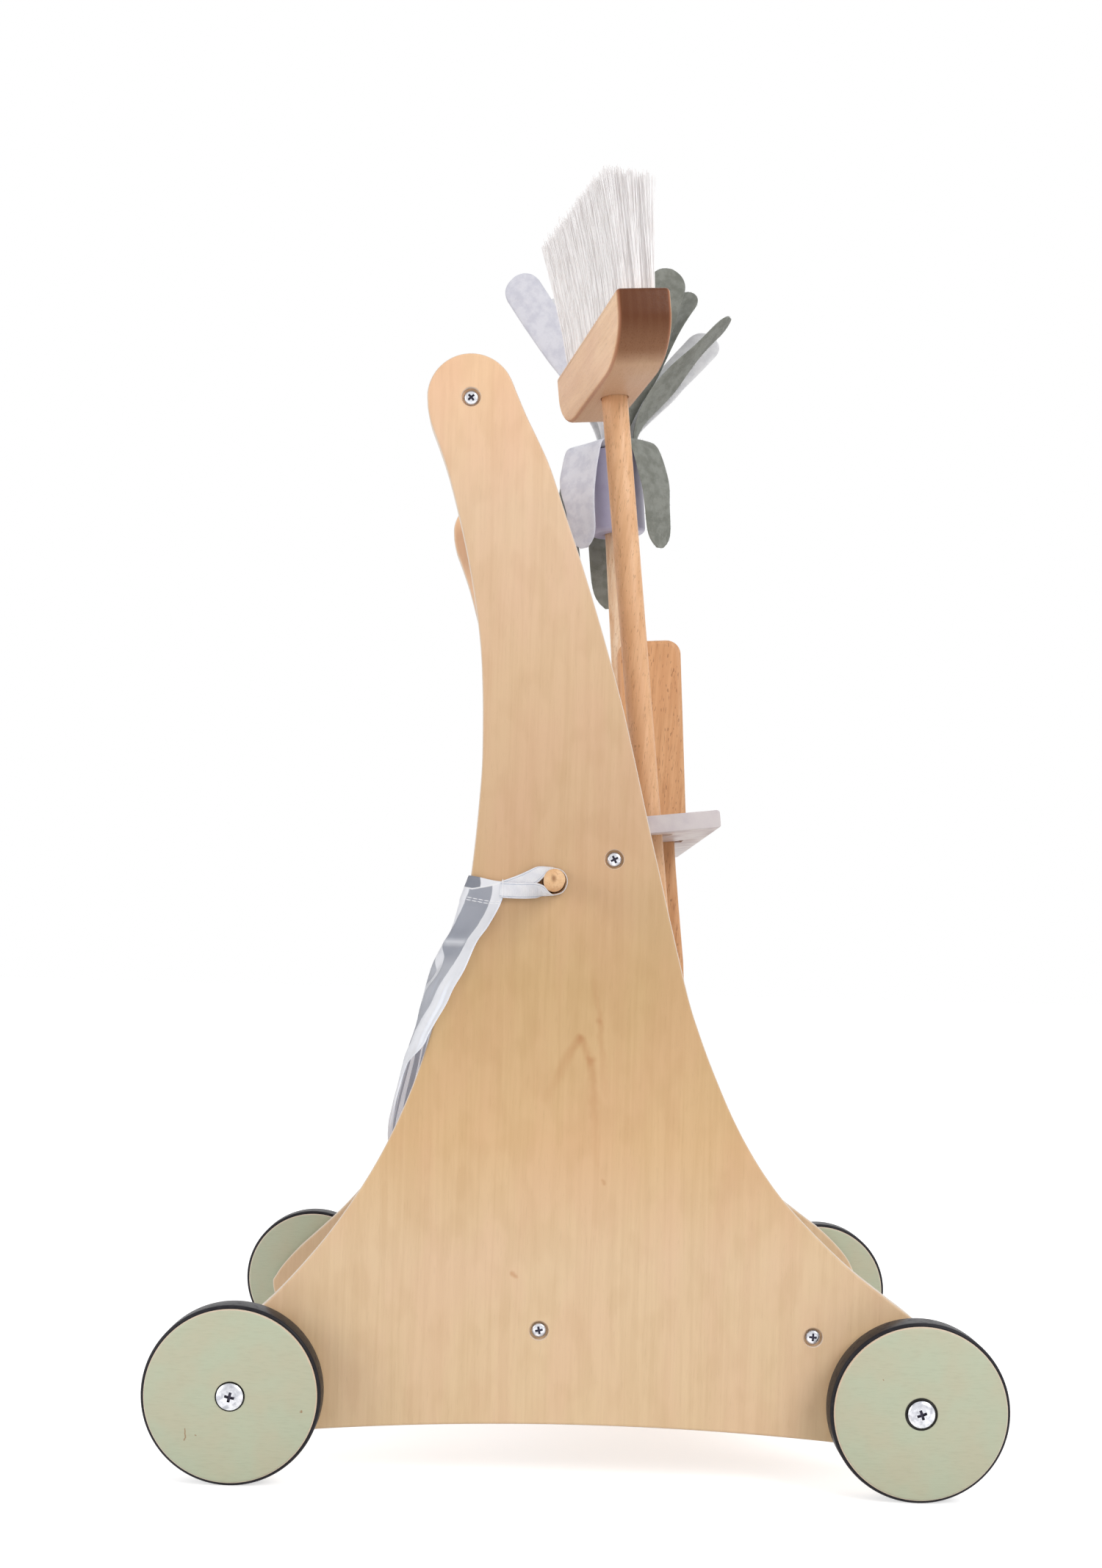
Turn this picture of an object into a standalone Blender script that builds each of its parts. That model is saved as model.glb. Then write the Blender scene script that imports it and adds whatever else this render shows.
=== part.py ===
"""A toddler's wooden push cart with cleaning toys, built as separate pieces.

Two plywood side panels stand on four wheels. A dowel handle, a tilted tool rack on its
rail and a lower shelf join them. A broom and a mop stand through the rack, a hand brush
hangs in it by its shoulders, and a striped apron hangs from two pegs over the rear edges.

Metres, +Z up. +X is the way the cart rolls, the child walks behind at -X, and -Y is the
cart's right side. The origin is on the floor under the middle of the four wheels.
"""

import math

import bmesh
import bpy
from mathutils import Euler, Matrix, Vector

# Clearances and cutting
GAP = 0.0003
OVERRUN = 0.002
MERGE = 0.000001

# Wheels
WHEELBASE = 0.298
WHEEL_RADIUS = 0.039
WHEEL_WIDTH = 0.018
DISC_RADIUS = 0.0375
DISC_CHAMFER = 0.0009
TYRE_WIDTH = 0.0138
TYRE_SEAT_DEPTH = 0.001
TYRE_ROUNDING = 0.0009
WHEEL_SIDES = 32
BOLT_RECESS_DEPTH = 0.0014
FRONT_RECESS_CLEARANCE = 0.0008
REAR_RECESS_CLEARANCE = 0.0004

# Axle bolts, the flanged sleeves they screw into, and the spacers behind the wheels
BOLT_HEAD_RADIUS = 0.006
BOLT_HEAD_HEIGHT = 0.0024
BOLT_CROWN_RADIUS = 0.0042
BOLT_RADIUS = 0.0025
BOLT_LENGTH = 0.022
SLEEVE_RADIUS = 0.004
SLEEVE_FLANGE_RADIUS = 0.0075
SLEEVE_FLANGE_THICKNESS = 0.0015
SPACER_RADIUS = 0.009
SPACER_THICKNESS = 0.0024
FASTENER_SIDES = 12
SPACER_SIDES = 16

# Side panels
INNER_WIDTH = 0.274
PANEL_THICKNESS = 0.012
PANEL_ROUNDING = 0.0012
LOBE_RADIUS = 0.0215
ARCH_RISE = 0.0081
HEAD_RADIUS = 0.0195
HEAD_START_ANGLE = math.radians(28)
HEAD_END_ANGLE = math.radians(190)
HEAD_STEPS = 10
LOBE_STEPS = 5
ARCH_STEPS = 8
EDGE_STEPS = 2

# Push handle
HANDLE_SETBACK = 0.057
HANDLE_HEIGHT = 0.478
HANDLE_RADIUS = 0.0125
HANDLE_SIDES = 20

# Edges of a panel between its head and its two feet, from the top down. Each point is a
# share of half the wheelbase, forward, and a share of the handle's height.
FRONT_EDGE_SHARES = (
    (-0.215, 0.983),
    (-0.148, 0.941),
    (-0.088, 0.889),
    (-0.017, 0.826),
    (0.088, 0.720),
    (0.175, 0.611),
    (0.287, 0.473),
    (0.336, 0.423),
    (0.406, 0.369),
    (0.491, 0.316),
    (0.613, 0.2625),
    (0.811, 0.203),
    (0.991, 0.161),
    (1.092, 0.129),
    (1.130, 0.104),
)
REAR_EDGE_SHARES = (
    (-0.500, 0.975),
    (-0.447, 0.931),
    (-0.382, 0.854),
    (-0.336, 0.770),
    (-0.323, 0.688),
    (-0.327, 0.634),
    (-0.349, 0.554),
    (-0.383, 0.502),
    (-0.423, 0.450),
    (-0.476, 0.389),
    (-0.539, 0.335),
    (-0.626, 0.280),
    (-0.748, 0.222),
    (-0.893, 0.1686),
    (-1.040, 0.125),
    (-1.115, 0.098),
)

# Wood screws through the panels and the rack
SCREW_HEAD_RADIUS = 0.0038
SCREW_HEAD_HEIGHT = 0.0018
SCREW_RADIUS = 0.002
SCREW_LENGTH = 0.036
SCREW_TIP = 0.005
SCREW_SINK = 0.0025
RACK_SCREW_LENGTH = 0.018

# Tool rack and its rail
RACK_TILT = math.radians(6.5)
RACK_FORWARD = 0.029
RACK_HEIGHT = 0.2923
RACK_DEPTH = 0.060
RACK_THICKNESS = 0.008
RACK_ROUNDING = 0.0012
RACK_HOLE_RADIUS = 0.010
HOLE_SIDES = 20
RAIL_SETBACK = 0.0193
RAIL_DEPTH = 0.018
RAIL_HEIGHT = 0.0205
RACK_SCREW_SPACING = 0.160

# Lower shelf
SHELF_FORWARD = 0.044
SHELF_HEIGHT = 0.067
SHELF_DEPTH = 0.152
SHELF_THICKNESS = 0.012
SHELF_ROUNDING = 0.0015
SHELF_SCREW_INSET = 0.0155

# Apron pegs
PEG_FORWARD = -0.015
PEG_HEIGHT = 0.265
PEG_RADIUS = 0.005
PEG_SOCKET_DEPTH = 0.008
PEG_REACH = 0.032
PEG_DOME = 0.0025
PEG_DOME_SHARES = ((1.0, 0.0), (0.8, 0.67), (0.5, 1.0))
PEG_SIDES = 16

# Broom
BROOM_OFFSET = 0.1125
BROOM_FOOT_FORWARD = 0.051
BROOM_LEAN = math.radians(6.0)
BROOM_STICK_RADIUS = 0.006
BROOM_HEAD_HEIGHT = 0.489
BROOM_HEAD_LENGTH = 0.132
BROOM_HEAD_DEPTH = 0.024
BROOM_HEAD_TALL = 0.029
BROOM_HEAD_FOOT = 0.064
BROOM_HEAD_END = 0.010
BROOM_HEAD_ROUNDING = 0.0012
BROOM_HEAD_TURN = math.radians(10.6)
BROOM_SOCKET_DEPTH = 0.016
BROOM_SHOULDER_STEPS = 5
STICK_SIDES = 16
STICK_ROUNDING = 0.0015

# Broom bristles
BROOM_FIELD_LENGTH = 0.118
BROOM_FIELD_DEPTH = 0.0155
BROOM_STRANDS_LONG = 38
BROOM_STRANDS_DEEP = 5
BROOM_BRISTLE_NEAR = 0.051
BROOM_BRISTLE_FAR = 0.060
BROOM_FLARE_LONG = 0.003
BROOM_FLARE_DEEP = 0.0035
BACKING_THICKNESS = 0.002
STRAND_TIP_SHARE = 0.74
STRAND_JAG = 0.0022
STRAND_JITTER = 0.0002

# Mop
MOP_OFFSET = 0.113
MOP_FOOT_FORWARD = 0.048
MOP_LEAN = math.radians(4.3)
MOP_STICK_RADIUS = 0.007
FERRULE_HEIGHT = 0.4735
FERRULE_RADIUS = 0.016
FERRULE_LENGTH = 0.0465
FERRULE_ROUNDING = 0.0025
FERRULE_SOCKET_DEPTH = 0.020
FERRULE_MOUTH_RADIUS = 0.0142
FERRULE_MOUTH_DEPTH = 0.014
FERRULE_SIDES = 20

# Felt strips of the mop
FELT_THICKNESS = 0.0016
FELT_WIDTH = 0.020
FELT_REACH = 0.100
FELT_STEPS = 3
FELT_TURN_END_SHARE = 0.5
FELT_PROBE_SHARE = 0.02

# Hand brush
BRUSH_OFFSET = 0.0445
BRUSH_FORWARD = 0.0342
BRUSH_LEAN = math.radians(3.3)
BRUSH_THICKNESS = 0.015
BRUSH_HEAD_WIDTH = 0.031
BRUSH_HEAD_LENGTH = 0.090
BRUSH_HEAD_ROUNDING = 0.007
BRUSH_NECK_WIDTH = 0.0195
BRUSH_GRIP_WIDTH = 0.024
BRUSH_HANDLE_LENGTH = 0.105
BRUSH_NECK_SHARE = 0.2
BRUSH_GRIP_SHARE = 0.65
BRUSH_EDGE_ROUNDING = 0.002
BRUSH_SLOT_CLEARANCE = 0.0012
CORNER_STEPS = 4

# Hand brush bristles
BRUSH_FIELD_LENGTH = 0.078
BRUSH_FIELD_WIDTH = 0.023
BRUSH_STRANDS_LONG = 20
BRUSH_STRANDS_WIDE = 6
BRUSH_BRISTLE_LENGTH = 0.024
BRUSH_FLARE = 0.0015
BRUSH_JAG = 0.0012

# Apron
CLOTH_THICKNESS = 0.0018
APRON_ABOVE_PEG = 0.002
APRON_DROP = 0.172
CLOTH_CLEARANCE = 0.0005
APRON_BEND = 0.0035
APRON_HEM = 0.006
APRON_TOP_SAG = 0.010
APRON_FOLD = 0.0085
APRON_FOLD_COUNT = 5
APRON_ROWS = 12
APRON_STEP_SHARE = 0.01
APRON_PROBE = 0.0005
RIBBON_WIDTH = 0.007
RIBBON_THICKNESS = 0.0009
RIBBON_CORNER = 0.0036
RIBBON_STEPS = 10

HALF_BASE = WHEELBASE / 2
PANEL_INSIDE = INNER_WIDTH / 2
PANEL_OUTSIDE = PANEL_INSIDE + PANEL_THICKNESS
WHEEL_INSIDE = PANEL_OUTSIDE + SPACER_THICKNESS + 2 * GAP
WHEEL_OUTSIDE = WHEEL_INSIDE + WHEEL_WIDTH
SHELF_TOP = SHELF_HEIGHT + SHELF_THICKNESS / 2
APRON_TOP = PEG_HEIGHT + APRON_ABOVE_PEG
SIDES = (("right", -1), ("left", 1))


def clear_scene():
    for thing in list(bpy.data.objects):
        bpy.data.objects.remove(thing, do_unlink=True)


def finish(name, colour, roughness, metallic=0.0):
    """One piece's material, made for that piece alone."""
    material = bpy.data.materials.new(name)
    material.use_nodes = True
    shader = material.node_tree.nodes["Principled BSDF"]
    shader.inputs["Base Color"].default_value = (*colour, 1.0)
    shader.inputs["Roughness"].default_value = roughness
    shader.inputs["Metallic"].default_value = metallic
    material.diffuse_color = (*colour, 1.0)
    return material


def birch(name):
    return finish(name, (0.70, 0.48, 0.27), 0.5)


def beech(name):
    return finish(name, (0.62, 0.36, 0.18), 0.5)


def zinc(name):
    return finish(name, (0.72, 0.73, 0.75), 0.28, 1.0)


def lavender(name):
    return finish(name, (0.50, 0.50, 0.58), 0.45)


def white_cloth(name):
    return finish(name, (0.80, 0.80, 0.82), 0.95)


def piece(name, bm, material_of, location=(0, 0, 0), rotation=(0, 0, 0), parent=None):
    """Turn a finished bmesh into a named object with its own material."""
    bmesh.ops.remove_doubles(bm, verts=bm.verts, dist=MERGE)
    bmesh.ops.recalc_face_normals(bm, faces=bm.faces)
    mesh = bpy.data.meshes.new(name)
    bm.to_mesh(mesh)
    bm.free()
    thing = bpy.data.objects.new(name, mesh)
    bpy.context.scene.collection.objects.link(thing)
    thing.location = location
    thing.rotation_euler = rotation
    thing.parent = parent
    if material_of:
        mesh.materials.append(material_of(name))
        mesh.shade_smooth()
        mesh.set_sharp_from_angle(angle=math.radians(35))
    return thing


def holder(name, location, rotation=(0, 0, 0)):
    """An empty that carries the pieces of one moving group."""
    empty = bpy.data.objects.new(name, None)
    bpy.context.scene.collection.objects.link(empty)
    empty.location = location
    empty.rotation_euler = rotation
    return empty


def facing(direction):
    """Rotation that turns a piece's own +Z to the given direction."""
    return Vector(direction).to_track_quat("Z", "Y").to_euler()


def add_turned(bm, profile, sides, closed=False, place=Matrix.Identity(4)):
    """Spin a profile of (radius, distance along +Z) round the Z axis."""
    half_step = math.pi / sides
    points = []
    for radius, along in profile:
        spot = Vector((radius * math.cos(half_step), radius * math.sin(half_step), along))
        points.append(bm.verts.new(place @ spot))
    edges = [bm.edges.new(pair) for pair in zip(points, points[1:])]
    if closed:
        edges.append(bm.edges.new((points[-1], points[0])))
    axis = place.to_3x3() @ Vector((0, 0, 1))
    bmesh.ops.spin(bm, geom=points + edges, cent=place.translation, axis=axis,
                   dvec=(0, 0, 0), angle=2 * math.pi, steps=sides)


def turned(name, profile, sides, material_of, location, direction, parent=None, closed=False):
    bm = bmesh.new()
    add_turned(bm, profile, sides, closed)
    return piece(name, bm, material_of, location, facing(direction), parent)


def plate(outline, low, high):
    """A flat plate: an outline of (x, z) points, thick from y = low to y = high."""
    bm = bmesh.new()
    face = bm.faces.new([bm.verts.new((x, low, z)) for x, z in outline])
    grown = bmesh.ops.extrude_face_region(bm, geom=[face])
    lifted = [part for part in grown["geom"] if isinstance(part, bmesh.types.BMVert)]
    bmesh.ops.translate(bm, verts=lifted, vec=(0, high - low, 0))
    return bm


def rectangle(width, height):
    return [(-width / 2, -height / 2), (width / 2, -height / 2),
            (width / 2, height / 2), (-width / 2, height / 2)]


def rounded(thing, width, segments=1):
    """Break the sharp edges of a plate."""
    bevel = thing.modifiers.new("edges", "BEVEL")
    bevel.width = width
    bevel.segments = segments
    bevel.limit_method = "ANGLE"
    bevel.angle_limit = math.radians(50)


def cut(thing, bm, name):
    """Cut the cutter's shapes, given in the piece's own frame, out of the piece."""
    cutter = piece(name, bm, None, thing.location, thing.rotation_euler, thing.parent)
    cutter.hide_render = True
    cutter.display_type = "WIRE"
    boolean = thing.modifiers.new("holes", "BOOLEAN")
    boolean.operation = "DIFFERENCE"
    boolean.object = cutter


def arc(centre, radius, start, end, steps):
    """Points on a circle in the X-Z plane, both ends included."""
    angles = [start + (end - start) * step / steps for step in range(steps + 1)]
    return [(centre[0] + radius * math.cos(a), centre[1] + radius * math.sin(a)) for a in angles]


def smooth_line(points, steps):
    """A smooth curve through the points: each span of the line is split into steps."""
    points = [Vector(point) for point in points]
    line = []
    for index in range(len(points) - 1):
        before = points[max(index - 1, 0)]
        start, end = points[index], points[index + 1]
        after = points[min(index + 2, len(points) - 1)]
        for step in range(steps):
            t = step / steps
            line.append(0.5 * (2 * start + (end - before) * t
                               + (2 * before - 5 * start + 4 * end - after) * t ** 2
                               + (3 * start - before - 3 * end + after) * t ** 3))
    line.append(points[-1])
    return line


def on_shares(shares):
    return [(x * HALF_BASE, z * HANDLE_HEIGHT) for x, z in shares]


def panel_edges():
    """The head's arc and the smooth front and rear edges below it, as (x, z) points."""
    head = arc((-HANDLE_SETBACK, HANDLE_HEIGHT), HEAD_RADIUS,
               HEAD_START_ANGLE, HEAD_END_ANGLE, HEAD_STEPS)
    front_foot = (HALF_BASE + LOBE_RADIUS, WHEEL_RADIUS)
    rear_foot = (-HALF_BASE - LOBE_RADIUS, WHEEL_RADIUS)
    front = smooth_line([head[0], *on_shares(FRONT_EDGE_SHARES), front_foot], EDGE_STEPS)
    rear = smooth_line([head[-1], *on_shares(REAR_EDGE_SHARES), rear_foot], EDGE_STEPS)
    return head, front, rear


def panel_outline():
    head, front, rear = panel_edges()
    quarter = math.pi / 2
    rear_lobe = arc((-HALF_BASE, WHEEL_RADIUS), LOBE_RADIUS, 2 * quarter, 3 * quarter, LOBE_STEPS)
    front_lobe = arc((HALF_BASE, WHEEL_RADIUS), LOBE_RADIUS, 3 * quarter, 4 * quarter, LOBE_STEPS)
    arch = []
    for step in range(1, ARCH_STEPS):
        along = 2 * step / ARCH_STEPS - 1
        arch.append((along * HALF_BASE, WHEEL_RADIUS - LOBE_RADIUS + ARCH_RISE * (1 - along ** 2)))
    front_up = [tuple(point) for point in reversed(front[1:-1])]
    rear_down = [tuple(point) for point in rear[1:-1]]
    return head + rear_down + rear_lobe + arch + front_lobe + front_up


def rear_edge_at(height):
    """How far forward the panels' rear edge lies at a height (its X)."""
    rear = panel_edges()[2]
    for above, below in zip(rear, rear[1:]):
        if below[1] <= height <= above[1]:
            share = (height - below[1]) / (above[1] - below[1])
            return below[0] + share * (above[0] - below[0])
    return rear[0][0]


def rack_matrix():
    return (Matrix.Translation((RACK_FORWARD, 0, RACK_HEIGHT))
            @ Matrix.Rotation(-RACK_TILT, 4, "Y"))


def rail_place():
    """The rail's middle: under the rack board, towards its rear edge."""
    below = RACK_THICKNESS / 2 + GAP + RAIL_HEIGHT / 2
    return rack_matrix() @ Vector((-RAIL_SETBACK, 0, -below))


def screw_spots():
    """Where wood screws go through each panel: (node name, x, z)."""
    rail = rail_place()
    inset = SHELF_DEPTH / 2 - SHELF_SCREW_INSET
    return (
        ("handle_screw", -HANDLE_SETBACK, HANDLE_HEIGHT),
        ("rail_screw", rail.x, rail.z),
        ("shelf_screw_rear", SHELF_FORWARD - inset, SHELF_HEIGHT),
        ("shelf_screw_front", SHELF_FORWARD + inset, SHELF_HEIGHT),
    )


def screw_hole(depth):
    """Stepped cutter for a sunk screw: its underside of head is at height zero."""
    hole = SCREW_RADIUS + GAP
    sink = SCREW_HEAD_RADIUS + GAP
    return [(0, -depth), (hole, -depth), (hole, -GAP), (sink, -GAP),
            (sink, SCREW_SINK + OVERRUN), (0, SCREW_SINK + OVERRUN)]


def pilot_hole(bm, x, z, depth, end):
    """Holes into both ends of a piece that spans from panel to panel."""
    hole = SCREW_RADIUS + GAP
    for side in (-1, 1):
        place = Matrix.Translation((x, side * end, z)) @ facing((0, side, 0)).to_matrix().to_4x4()
        add_turned(bm, [(0, -depth), (hole, -depth), (hole, OVERRUN), (0, OVERRUN)],
                   FASTENER_SIDES, place=place)


def wood_screw(name, location, direction, length):
    profile = [
        (0, -length),
        (SCREW_RADIUS, SCREW_TIP - length),
        (SCREW_RADIUS, 0),
        (SCREW_HEAD_RADIUS, 0),
        (SCREW_HEAD_RADIUS, SCREW_HEAD_HEIGHT / 2),
        (SCREW_HEAD_RADIUS / 2, SCREW_HEAD_HEIGHT),
        (0, SCREW_HEAD_HEIGHT),
    ]
    turned(name, profile, FASTENER_SIDES, zinc, location, direction)


def side_panels():
    """Both plywood sides, drilled for their screws, the axle sleeves and the pegs."""
    outline = panel_outline()
    for label, side in SIDES:
        bm = plate(outline, 0, PANEL_THICKNESS)
        middle = side * (PANEL_INSIDE + PANEL_THICKNESS / 2)
        panel = piece("side_panel_" + label, bm, birch,
                      (0, middle - PANEL_THICKNESS / 2, 0))
        rounded(panel, PANEL_ROUNDING)

        holes = bmesh.new()
        outward = facing((0, side, 0)).to_matrix().to_4x4()
        outer_face = PANEL_THICKNESS if side > 0 else 0
        inner_face = PANEL_THICKNESS - outer_face
        seat = outer_face - side * SCREW_SINK
        for _, x, z in screw_spots():
            place = Matrix.Translation((x, seat, z)) @ outward
            add_turned(holes, screw_hole(PANEL_THICKNESS + OVERRUN), FASTENER_SIDES, place=place)
        socket = PEG_RADIUS + GAP
        place = Matrix.Translation((PEG_FORWARD, outer_face, PEG_HEIGHT)) @ outward
        add_turned(holes, [(0, -PEG_SOCKET_DEPTH), (socket, -PEG_SOCKET_DEPTH),
                           (socket, OVERRUN), (0, OVERRUN)], PEG_SIDES, place=place)
        bore = SLEEVE_RADIUS + GAP
        for end in (-1, 1):
            place = Matrix.Translation((end * HALF_BASE, inner_face, WHEEL_RADIUS)) @ outward
            add_turned(holes, [(0, -OVERRUN), (bore, -OVERRUN),
                               (bore, PANEL_THICKNESS + OVERRUN),
                               (0, PANEL_THICKNESS + OVERRUN)], SPACER_SIDES, place=place)
        cut(panel, holes, "holes_of_panel_" + label)

        for name, x, z in screw_spots():
            head_seat = side * (PANEL_OUTSIDE - SCREW_SINK)
            wood_screw(name + "_" + label, (x, head_seat, z), (0, side, 0), SCREW_LENGTH)


def cross_members():
    """Handle dowel, rack rail and lower shelf, each between the two panels."""
    half = PANEL_INSIDE - GAP
    pilot = SCREW_LENGTH - (PANEL_THICKNESS - SCREW_SINK) + OVERRUN

    bm = bmesh.new()
    add_turned(bm, [(0, -half), (HANDLE_RADIUS, -half), (HANDLE_RADIUS, half), (0, half)],
               HANDLE_SIDES, place=Matrix.Rotation(-math.pi / 2, 4, "X"))
    handle = piece("push_handle", bm, beech, (-HANDLE_SETBACK, 0, HANDLE_HEIGHT))
    holes = bmesh.new()
    pilot_hole(holes, 0, 0, pilot, half)
    cut(handle, holes, "holes_of_handle")

    rail = piece("rack_rail", plate(rectangle(RAIL_DEPTH, RAIL_HEIGHT), -half, half), birch,
                 rail_place(), Euler((0, -RACK_TILT, 0)))
    rounded(rail, RACK_ROUNDING)
    holes = bmesh.new()
    pilot_hole(holes, 0, 0, pilot, half)
    reach = RACK_SCREW_LENGTH - RACK_THICKNESS + SCREW_SINK + OVERRUN
    for side in (-1, 1):
        place = Matrix.Translation((0, side * RACK_SCREW_SPACING / 2, RAIL_HEIGHT / 2))
        add_turned(holes, [(0, -reach), (SCREW_RADIUS + GAP, -reach),
                           (SCREW_RADIUS + GAP, OVERRUN), (0, OVERRUN)],
                   FASTENER_SIDES, place=place)
    cut(rail, holes, "holes_of_rail")

    shelf = piece("lower_shelf", plate(rectangle(SHELF_DEPTH, SHELF_THICKNESS), -half, half),
                  birch, (SHELF_FORWARD, 0, SHELF_HEIGHT))
    rounded(shelf, SHELF_ROUNDING)
    holes = bmesh.new()
    inset = SHELF_DEPTH / 2 - SHELF_SCREW_INSET
    for end in (-1, 1):
        pilot_hole(holes, end * inset, 0, pilot, half)
    cut(shelf, holes, "holes_of_shelf")


def tool_places():
    """Foot of each stick on the lower shelf: (x, y, z), and its lean from upright."""
    spots = {}
    for tool, offset, forward, lean, radius in (
            ("broom", -BROOM_OFFSET, BROOM_FOOT_FORWARD, BROOM_LEAN, BROOM_STICK_RADIUS),
            ("mop", MOP_OFFSET, MOP_FOOT_FORWARD, MOP_LEAN, MOP_STICK_RADIUS)):
        height = SHELF_TOP + GAP + radius * math.sin(lean)
        spots[tool] = (Vector((forward, offset, height)), lean)
    return spots


def brush_place():
    """The hand brush hangs by its front shoulder on the rack's top face."""
    half = BRUSH_HEAD_WIDTH / 2
    along = (BRUSH_FORWARD - RACK_FORWARD) * math.tan(RACK_TILT)
    face = RACK_HEIGHT + RACK_THICKNESS / 2 / math.cos(RACK_TILT) + along
    rise = half * (math.cos(BRUSH_LEAN) * math.tan(RACK_TILT) - math.sin(BRUSH_LEAN))
    return Vector((BRUSH_FORWARD, -BRUSH_OFFSET, face + rise + GAP / math.cos(RACK_TILT)))


def rack_board():
    """The tilted board with a round hole for each stick and a slot for the hand brush."""
    half = PANEL_INSIDE - GAP
    board = piece("rack_shelf", plate(rectangle(RACK_DEPTH, RACK_THICKNESS), -half, half),
                  lavender, (RACK_FORWARD, 0, RACK_HEIGHT), Euler((0, -RACK_TILT, 0)))
    rounded(board, RACK_ROUNDING)

    to_board = rack_matrix().inverted()
    depth = RACK_THICKNESS / 2 + OVERRUN
    holes = bmesh.new()
    for foot, lean in tool_places().values():
        axis = to_board.to_3x3() @ Vector((-math.sin(lean), 0, math.cos(lean)))
        start = to_board @ foot
        crossing = start - axis * (start.z / axis.z)
        add_turned(holes, [(0, -depth), (RACK_HOLE_RADIUS, -depth),
                           (RACK_HOLE_RADIUS, depth), (0, depth)],
                   HOLE_SIDES, place=Matrix.Translation((crossing.x, crossing.y, 0)))
    for side in (-1, 1):
        seat = RACK_THICKNESS / 2 - SCREW_SINK
        place = Matrix.Translation((-RAIL_SETBACK, side * RACK_SCREW_SPACING / 2, seat))
        add_turned(holes, screw_hole(RACK_THICKNESS), FASTENER_SIDES, place=place)
    slot_middle = to_board @ brush_place()
    width = BRUSH_GRIP_WIDTH + 2 * BRUSH_SLOT_CLEARANCE
    thick = BRUSH_THICKNESS + 2 * BRUSH_SLOT_CLEARANCE
    slot = bmesh.ops.create_cube(holes, size=1.0)["verts"]
    bmesh.ops.scale(holes, verts=slot, vec=(width, thick, 2 * depth))
    bmesh.ops.translate(holes, verts=slot, vec=(slot_middle.x, slot_middle.y, 0))
    cut(board, holes, "holes_of_rack")

    for label, side in SIDES:
        seat = RACK_THICKNESS / 2 - SCREW_SINK
        spot = rack_matrix() @ Vector((-RAIL_SETBACK, side * RACK_SCREW_SPACING / 2, seat))
        up = rack_matrix().to_3x3() @ Vector((0, 0, 1))
        wood_screw("rack_screw_" + label, spot, up, RACK_SCREW_LENGTH)


def pegs():
    inner = GAP - PEG_SOCKET_DEPTH
    for label, side in SIDES:
        start = PEG_REACH - PEG_DOME
        dome = [(PEG_RADIUS * wide, start + PEG_DOME * tall) for wide, tall in PEG_DOME_SHARES]
        profile = [(0, inner), (PEG_RADIUS, inner), *dome, (0, PEG_REACH)]
        turned("apron_peg_" + label, profile, PEG_SIDES, beech,
               (PEG_FORWARD, side * PANEL_OUTSIDE, PEG_HEIGHT), (0, side, 0))


def disc_profile(recess_clearance):
    seat = (WHEEL_WIDTH - TYRE_WIDTH) / 2 - GAP
    bore = SLEEVE_RADIUS + GAP
    recess = BOLT_HEAD_RADIUS + recess_clearance
    floor = WHEEL_WIDTH - BOLT_RECESS_DEPTH
    groove = DISC_RADIUS - TYRE_SEAT_DEPTH
    return [
        (bore, 0),
        (DISC_RADIUS - DISC_CHAMFER, 0),
        (DISC_RADIUS, DISC_CHAMFER),
        (DISC_RADIUS, seat),
        (groove, seat),
        (groove, WHEEL_WIDTH - seat),
        (DISC_RADIUS, WHEEL_WIDTH - seat),
        (DISC_RADIUS, WHEEL_WIDTH - DISC_CHAMFER),
        (DISC_RADIUS - DISC_CHAMFER, WHEEL_WIDTH),
        (recess, WHEEL_WIDTH),
        (recess, floor),
        (bore, floor),
    ]


def tyre_profile():
    """A rounded band. Its flats, not its corners, lie at the full radius, so it stands flat."""
    low = (WHEEL_WIDTH - TYRE_WIDTH) / 2
    high = WHEEL_WIDTH - low
    inner = DISC_RADIUS - TYRE_SEAT_DEPTH + GAP
    outer = WHEEL_RADIUS / math.cos(math.pi / WHEEL_SIDES)
    shoulder = outer - TYRE_ROUNDING
    return [(inner, low), (shoulder, low), (outer, low + TYRE_ROUNDING),
            (outer, high - TYRE_ROUNDING), (shoulder, high), (inner, high)]


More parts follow.
